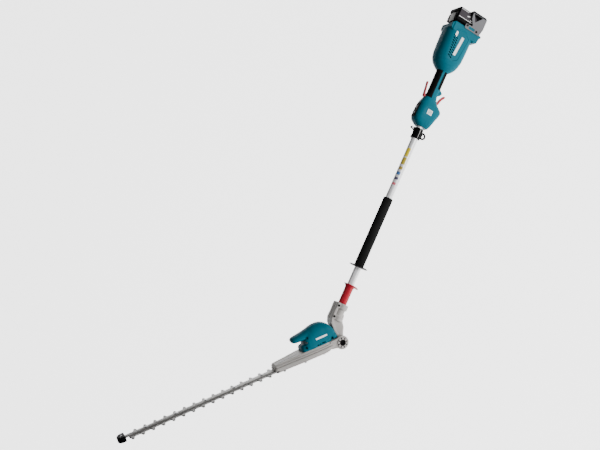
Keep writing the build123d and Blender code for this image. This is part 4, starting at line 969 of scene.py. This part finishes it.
blade("blade_top", "upper_blade", -6.0, -3.7, True)
blade("blade_under", "lower_blade", -8.6, -6.3, False)
bm = new_bmesh()
plate(bm, [(202, -13), (838, -13), (838, 13), (202, 13)], -3.4, -0.4, "xy")
soften(bm, 0.6, 2)
piece("bar", bm, HEAD, "head", blade_steel, ["guide_bar"])
bm = new_bmesh()
for step in range(5):
    spot = (FIRST + PITCH / 2 + 3 * PITCH * step, 0, 0)
    turn(bm, [(-0.5, 0), (-0.5, 6.6), (0.4, 6.6), (0.8, 5.6), (1.9, 5.1), (2.2, 4.2), (2.2, 0)], "z", spot,
         32)
    turn(bm, [(-12.4, 0), (-12.4, 5), (-11.9, 5.6), (-8.8, 5.6), (-8.8, 0)], "z", spot, 6)
bmesh.ops.recalc_face_normals(bm, faces=bm.faces)
piece("bolt_heads", bm, HEAD, "head", turned_steel, ["blade_bolts"])
tip_outline = [(818, -24), (820, -25), (829, -25)]
tip_outline += [(829 + 17 * cos(radians(a)), 25 * sin(radians(a))) for a in range(-75, 90, 15)]
tip_outline += [(829, 25), (820, 25), (818, 24)]
bm = new_bmesh()
plate(bm, tip_outline, -12, 7, "xy")
soften(bm, 3, 5, angle=0.9)
tip = piece("tip_cap", bm, HEAD, "head", black_moulding, ["tip_guard"])
# the blade slot and the screw well get walls of painted near-black shade
well = new_bmesh()
turn(well, [(5.6, 0), (5.6, 5), (12, 5), (12, 0)], "z", (830, 0, 0), 40)
carve(tip, [block((810, -13.2, -3.6), (839, 13.2, -0.2), HEAD), cutter(well, HEAD, painted_recess_shade)])
bm = new_bmesh()
socket_screw(bm, (830, 0, 5.5), (0, 0, 1), 3.6, 1.4, 1.6)
piece("tip_screw_head", bm, HEAD, "head", turned_steel)

# %% [markdown]
# ## Labels
# The real tool carries words and marks. Here they are plain blocks of white: a bar on the cover,
# a bar and a slanted patch on the barrel, and a square data label on the control housing.

# %% Data label on the control housing
bm = new_bmesh()
box(bm, (218, -33.15, -9), (237, -31.5, 12))
soften(bm, 0.3, 2)
piece("data_label", bm, TOOL, "pole_unit", white_ink)
bm = new_bmesh()
for row in range(4):
    box(bm, (220.5, -33.25, -6 + 4 * row), (234.5, -33.1, -4.6 + 4 * row))
piece("data_label_rules", bm, TOOL, "pole_unit", label_print_and_groove_shade)

# %% [markdown]
# ## Inner pieces
# The motor, gears, cells and fasteners that the covers hide keep their CAD shape. They still get
# the finish of their own slot, because the vents and the open battery bay show some of them.

# %% Finishes for CAD pieces
INNER = (
    (turned_steel, "machine_steel", ["motor_bearings", "lever_pins", "drive_shaft", "drive_bevel", "rotor",
                                     "relay_shaft", "pivot_gear", "pivot_pin", "crank_axle",
                                     "tilt_lever_pin", "head_pinion", "crank_gear", "upper_rod",
                                     "lower_rod"]),
    (copper, "copper_winding", ["motor_stator"]),
    (board, "board_green", ["controller"]),
    (black_moulding, "black_plastic", ["shaft_bushes", "trigger_switch", "terminal_block", "cooling_fan"]),
    (cell_wrap, "light_plastic", ["battery_cells"]),
)
for inner_finish, slot, names in INNER:
    for name in names:
        node = frame["nodes"][name]
        node.data.materials.clear()
        node.data.materials.append(inner_finish)
    print(slot, len(names), "pieces")

# %% [markdown]
# ## Studio
# The tool hangs in a white studio, as on a catalogue page. A pale floor lies well below it, a large
# soft key light stands up and to the left of the camera, and two weaker ones fill the far side and
# draw a line of light along the pole and the blades.

# %% Floor, lights and world
floor_mesh = bpy.data.meshes.new("floor")
bm = new_bmesh()
bmesh.ops.create_grid(bm, x_segments=1, y_segments=1, size=14)
bmesh.ops.translate(bm, vec=(0, 0, -6), verts=bm.verts)
bm.to_mesh(floor_mesh)
bm.free()
floor = bpy.data.objects.new("floor", floor_mesh)
bpy.context.collection.objects.link(floor)
world = bpy.data.worlds.new("studio")
bpy.context.scene.world = world
world.use_nodes = True
world.node_tree.nodes["Background"].inputs["Color"].default_value = (1, 1, 1, 1)
world.node_tree.nodes["Background"].inputs["Strength"].default_value = 0.16

SWEEP_GLOW = 2.8
AZIMUTH = radians(6.68)
ELEVATION = radians(20.02)
ROLL = radians(63.49)
look = Vector((sin(AZIMUTH) * cos(ELEVATION), cos(AZIMUTH) * cos(ELEVATION), -sin(ELEVATION)))
level = Vector((cos(AZIMUTH), -sin(AZIMUTH), 0))
rise = level.cross(look)
right = level * cos(ROLL) - rise * sin(ROLL)
up = level * sin(ROLL) + rise * cos(ROLL)


def soft_light(name, direction, distance, size, power):
    """An area light that faces the tool's middle."""
    lamp_data = bpy.data.lights.new(name, "AREA")
    lamp_data.shape = "DISK"
    lamp_data.size = size
    lamp_data.energy = power
    obj = bpy.data.objects.new(name, lamp_data)
    obj.location = direction.normalized() * distance
    obj.rotation_euler = (-direction).to_track_quat("-Z", "Y").to_euler()
    bpy.context.collection.objects.link(obj)


soft_light("key", -look + right * 0.9 + up * 0.3, 2.8, 1.1, 60)
soft_light("fill", -look * 0.8 - right * 0.5 + up * 0.2, 3.0, 1.6, 10)
soft_light("back", look * 1.0 + right * 0.2 + up * 0.9, 3.0, 2.0, 5)

# %% White sweep behind the tool
def glowing(name, strength):
    """A plain white finish that shines by itself, for what stands behind the tool."""
    material = bpy.data.materials.new(name)
    material.use_nodes = True
    shader = material.node_tree.nodes["Principled BSDF"]
    shader.inputs["Base Color"].default_value = (0.9, 0.9, 0.9, 1)
    shader.inputs["Roughness"].default_value = 1.0
    shader.inputs["Specular IOR Level"].default_value = 0.0
    shader.inputs["Emission Color"].default_value = (1, 1, 1, 1)
    shader.inputs["Emission Strength"].default_value = strength
    return material


white_sweep = glowing("white_sweep", SWEEP_GLOW)
floor_mesh.materials.append(white_sweep)
sweep_mesh = bpy.data.meshes.new("sweep")
bm = new_bmesh()
bmesh.ops.create_grid(bm, x_segments=1, y_segments=1, size=4.2)
bm.transform(Matrix.Translation(look * 5.5) @ (-look).to_track_quat("Z", "Y").to_matrix().to_4x4())
bm.to_mesh(sweep_mesh)
bm.free()
sweep = bpy.data.objects.new("sweep", sweep_mesh)
sweep_mesh.materials.append(white_sweep)
bpy.context.collection.objects.link(sweep)

# %% Camera
camera_data = bpy.data.cameras.new("camera")
camera_data.lens = 51.0
camera_data.sensor_width = 36.0
camera = bpy.data.objects.new("camera", camera_data)
camera.matrix_world = Matrix((right, up, -look)).transposed().to_4x4()
camera.location = (-0.68908, -2.81466, 1.30639)
bpy.context.collection.objects.link(camera)
bpy.context.scene.camera = camera
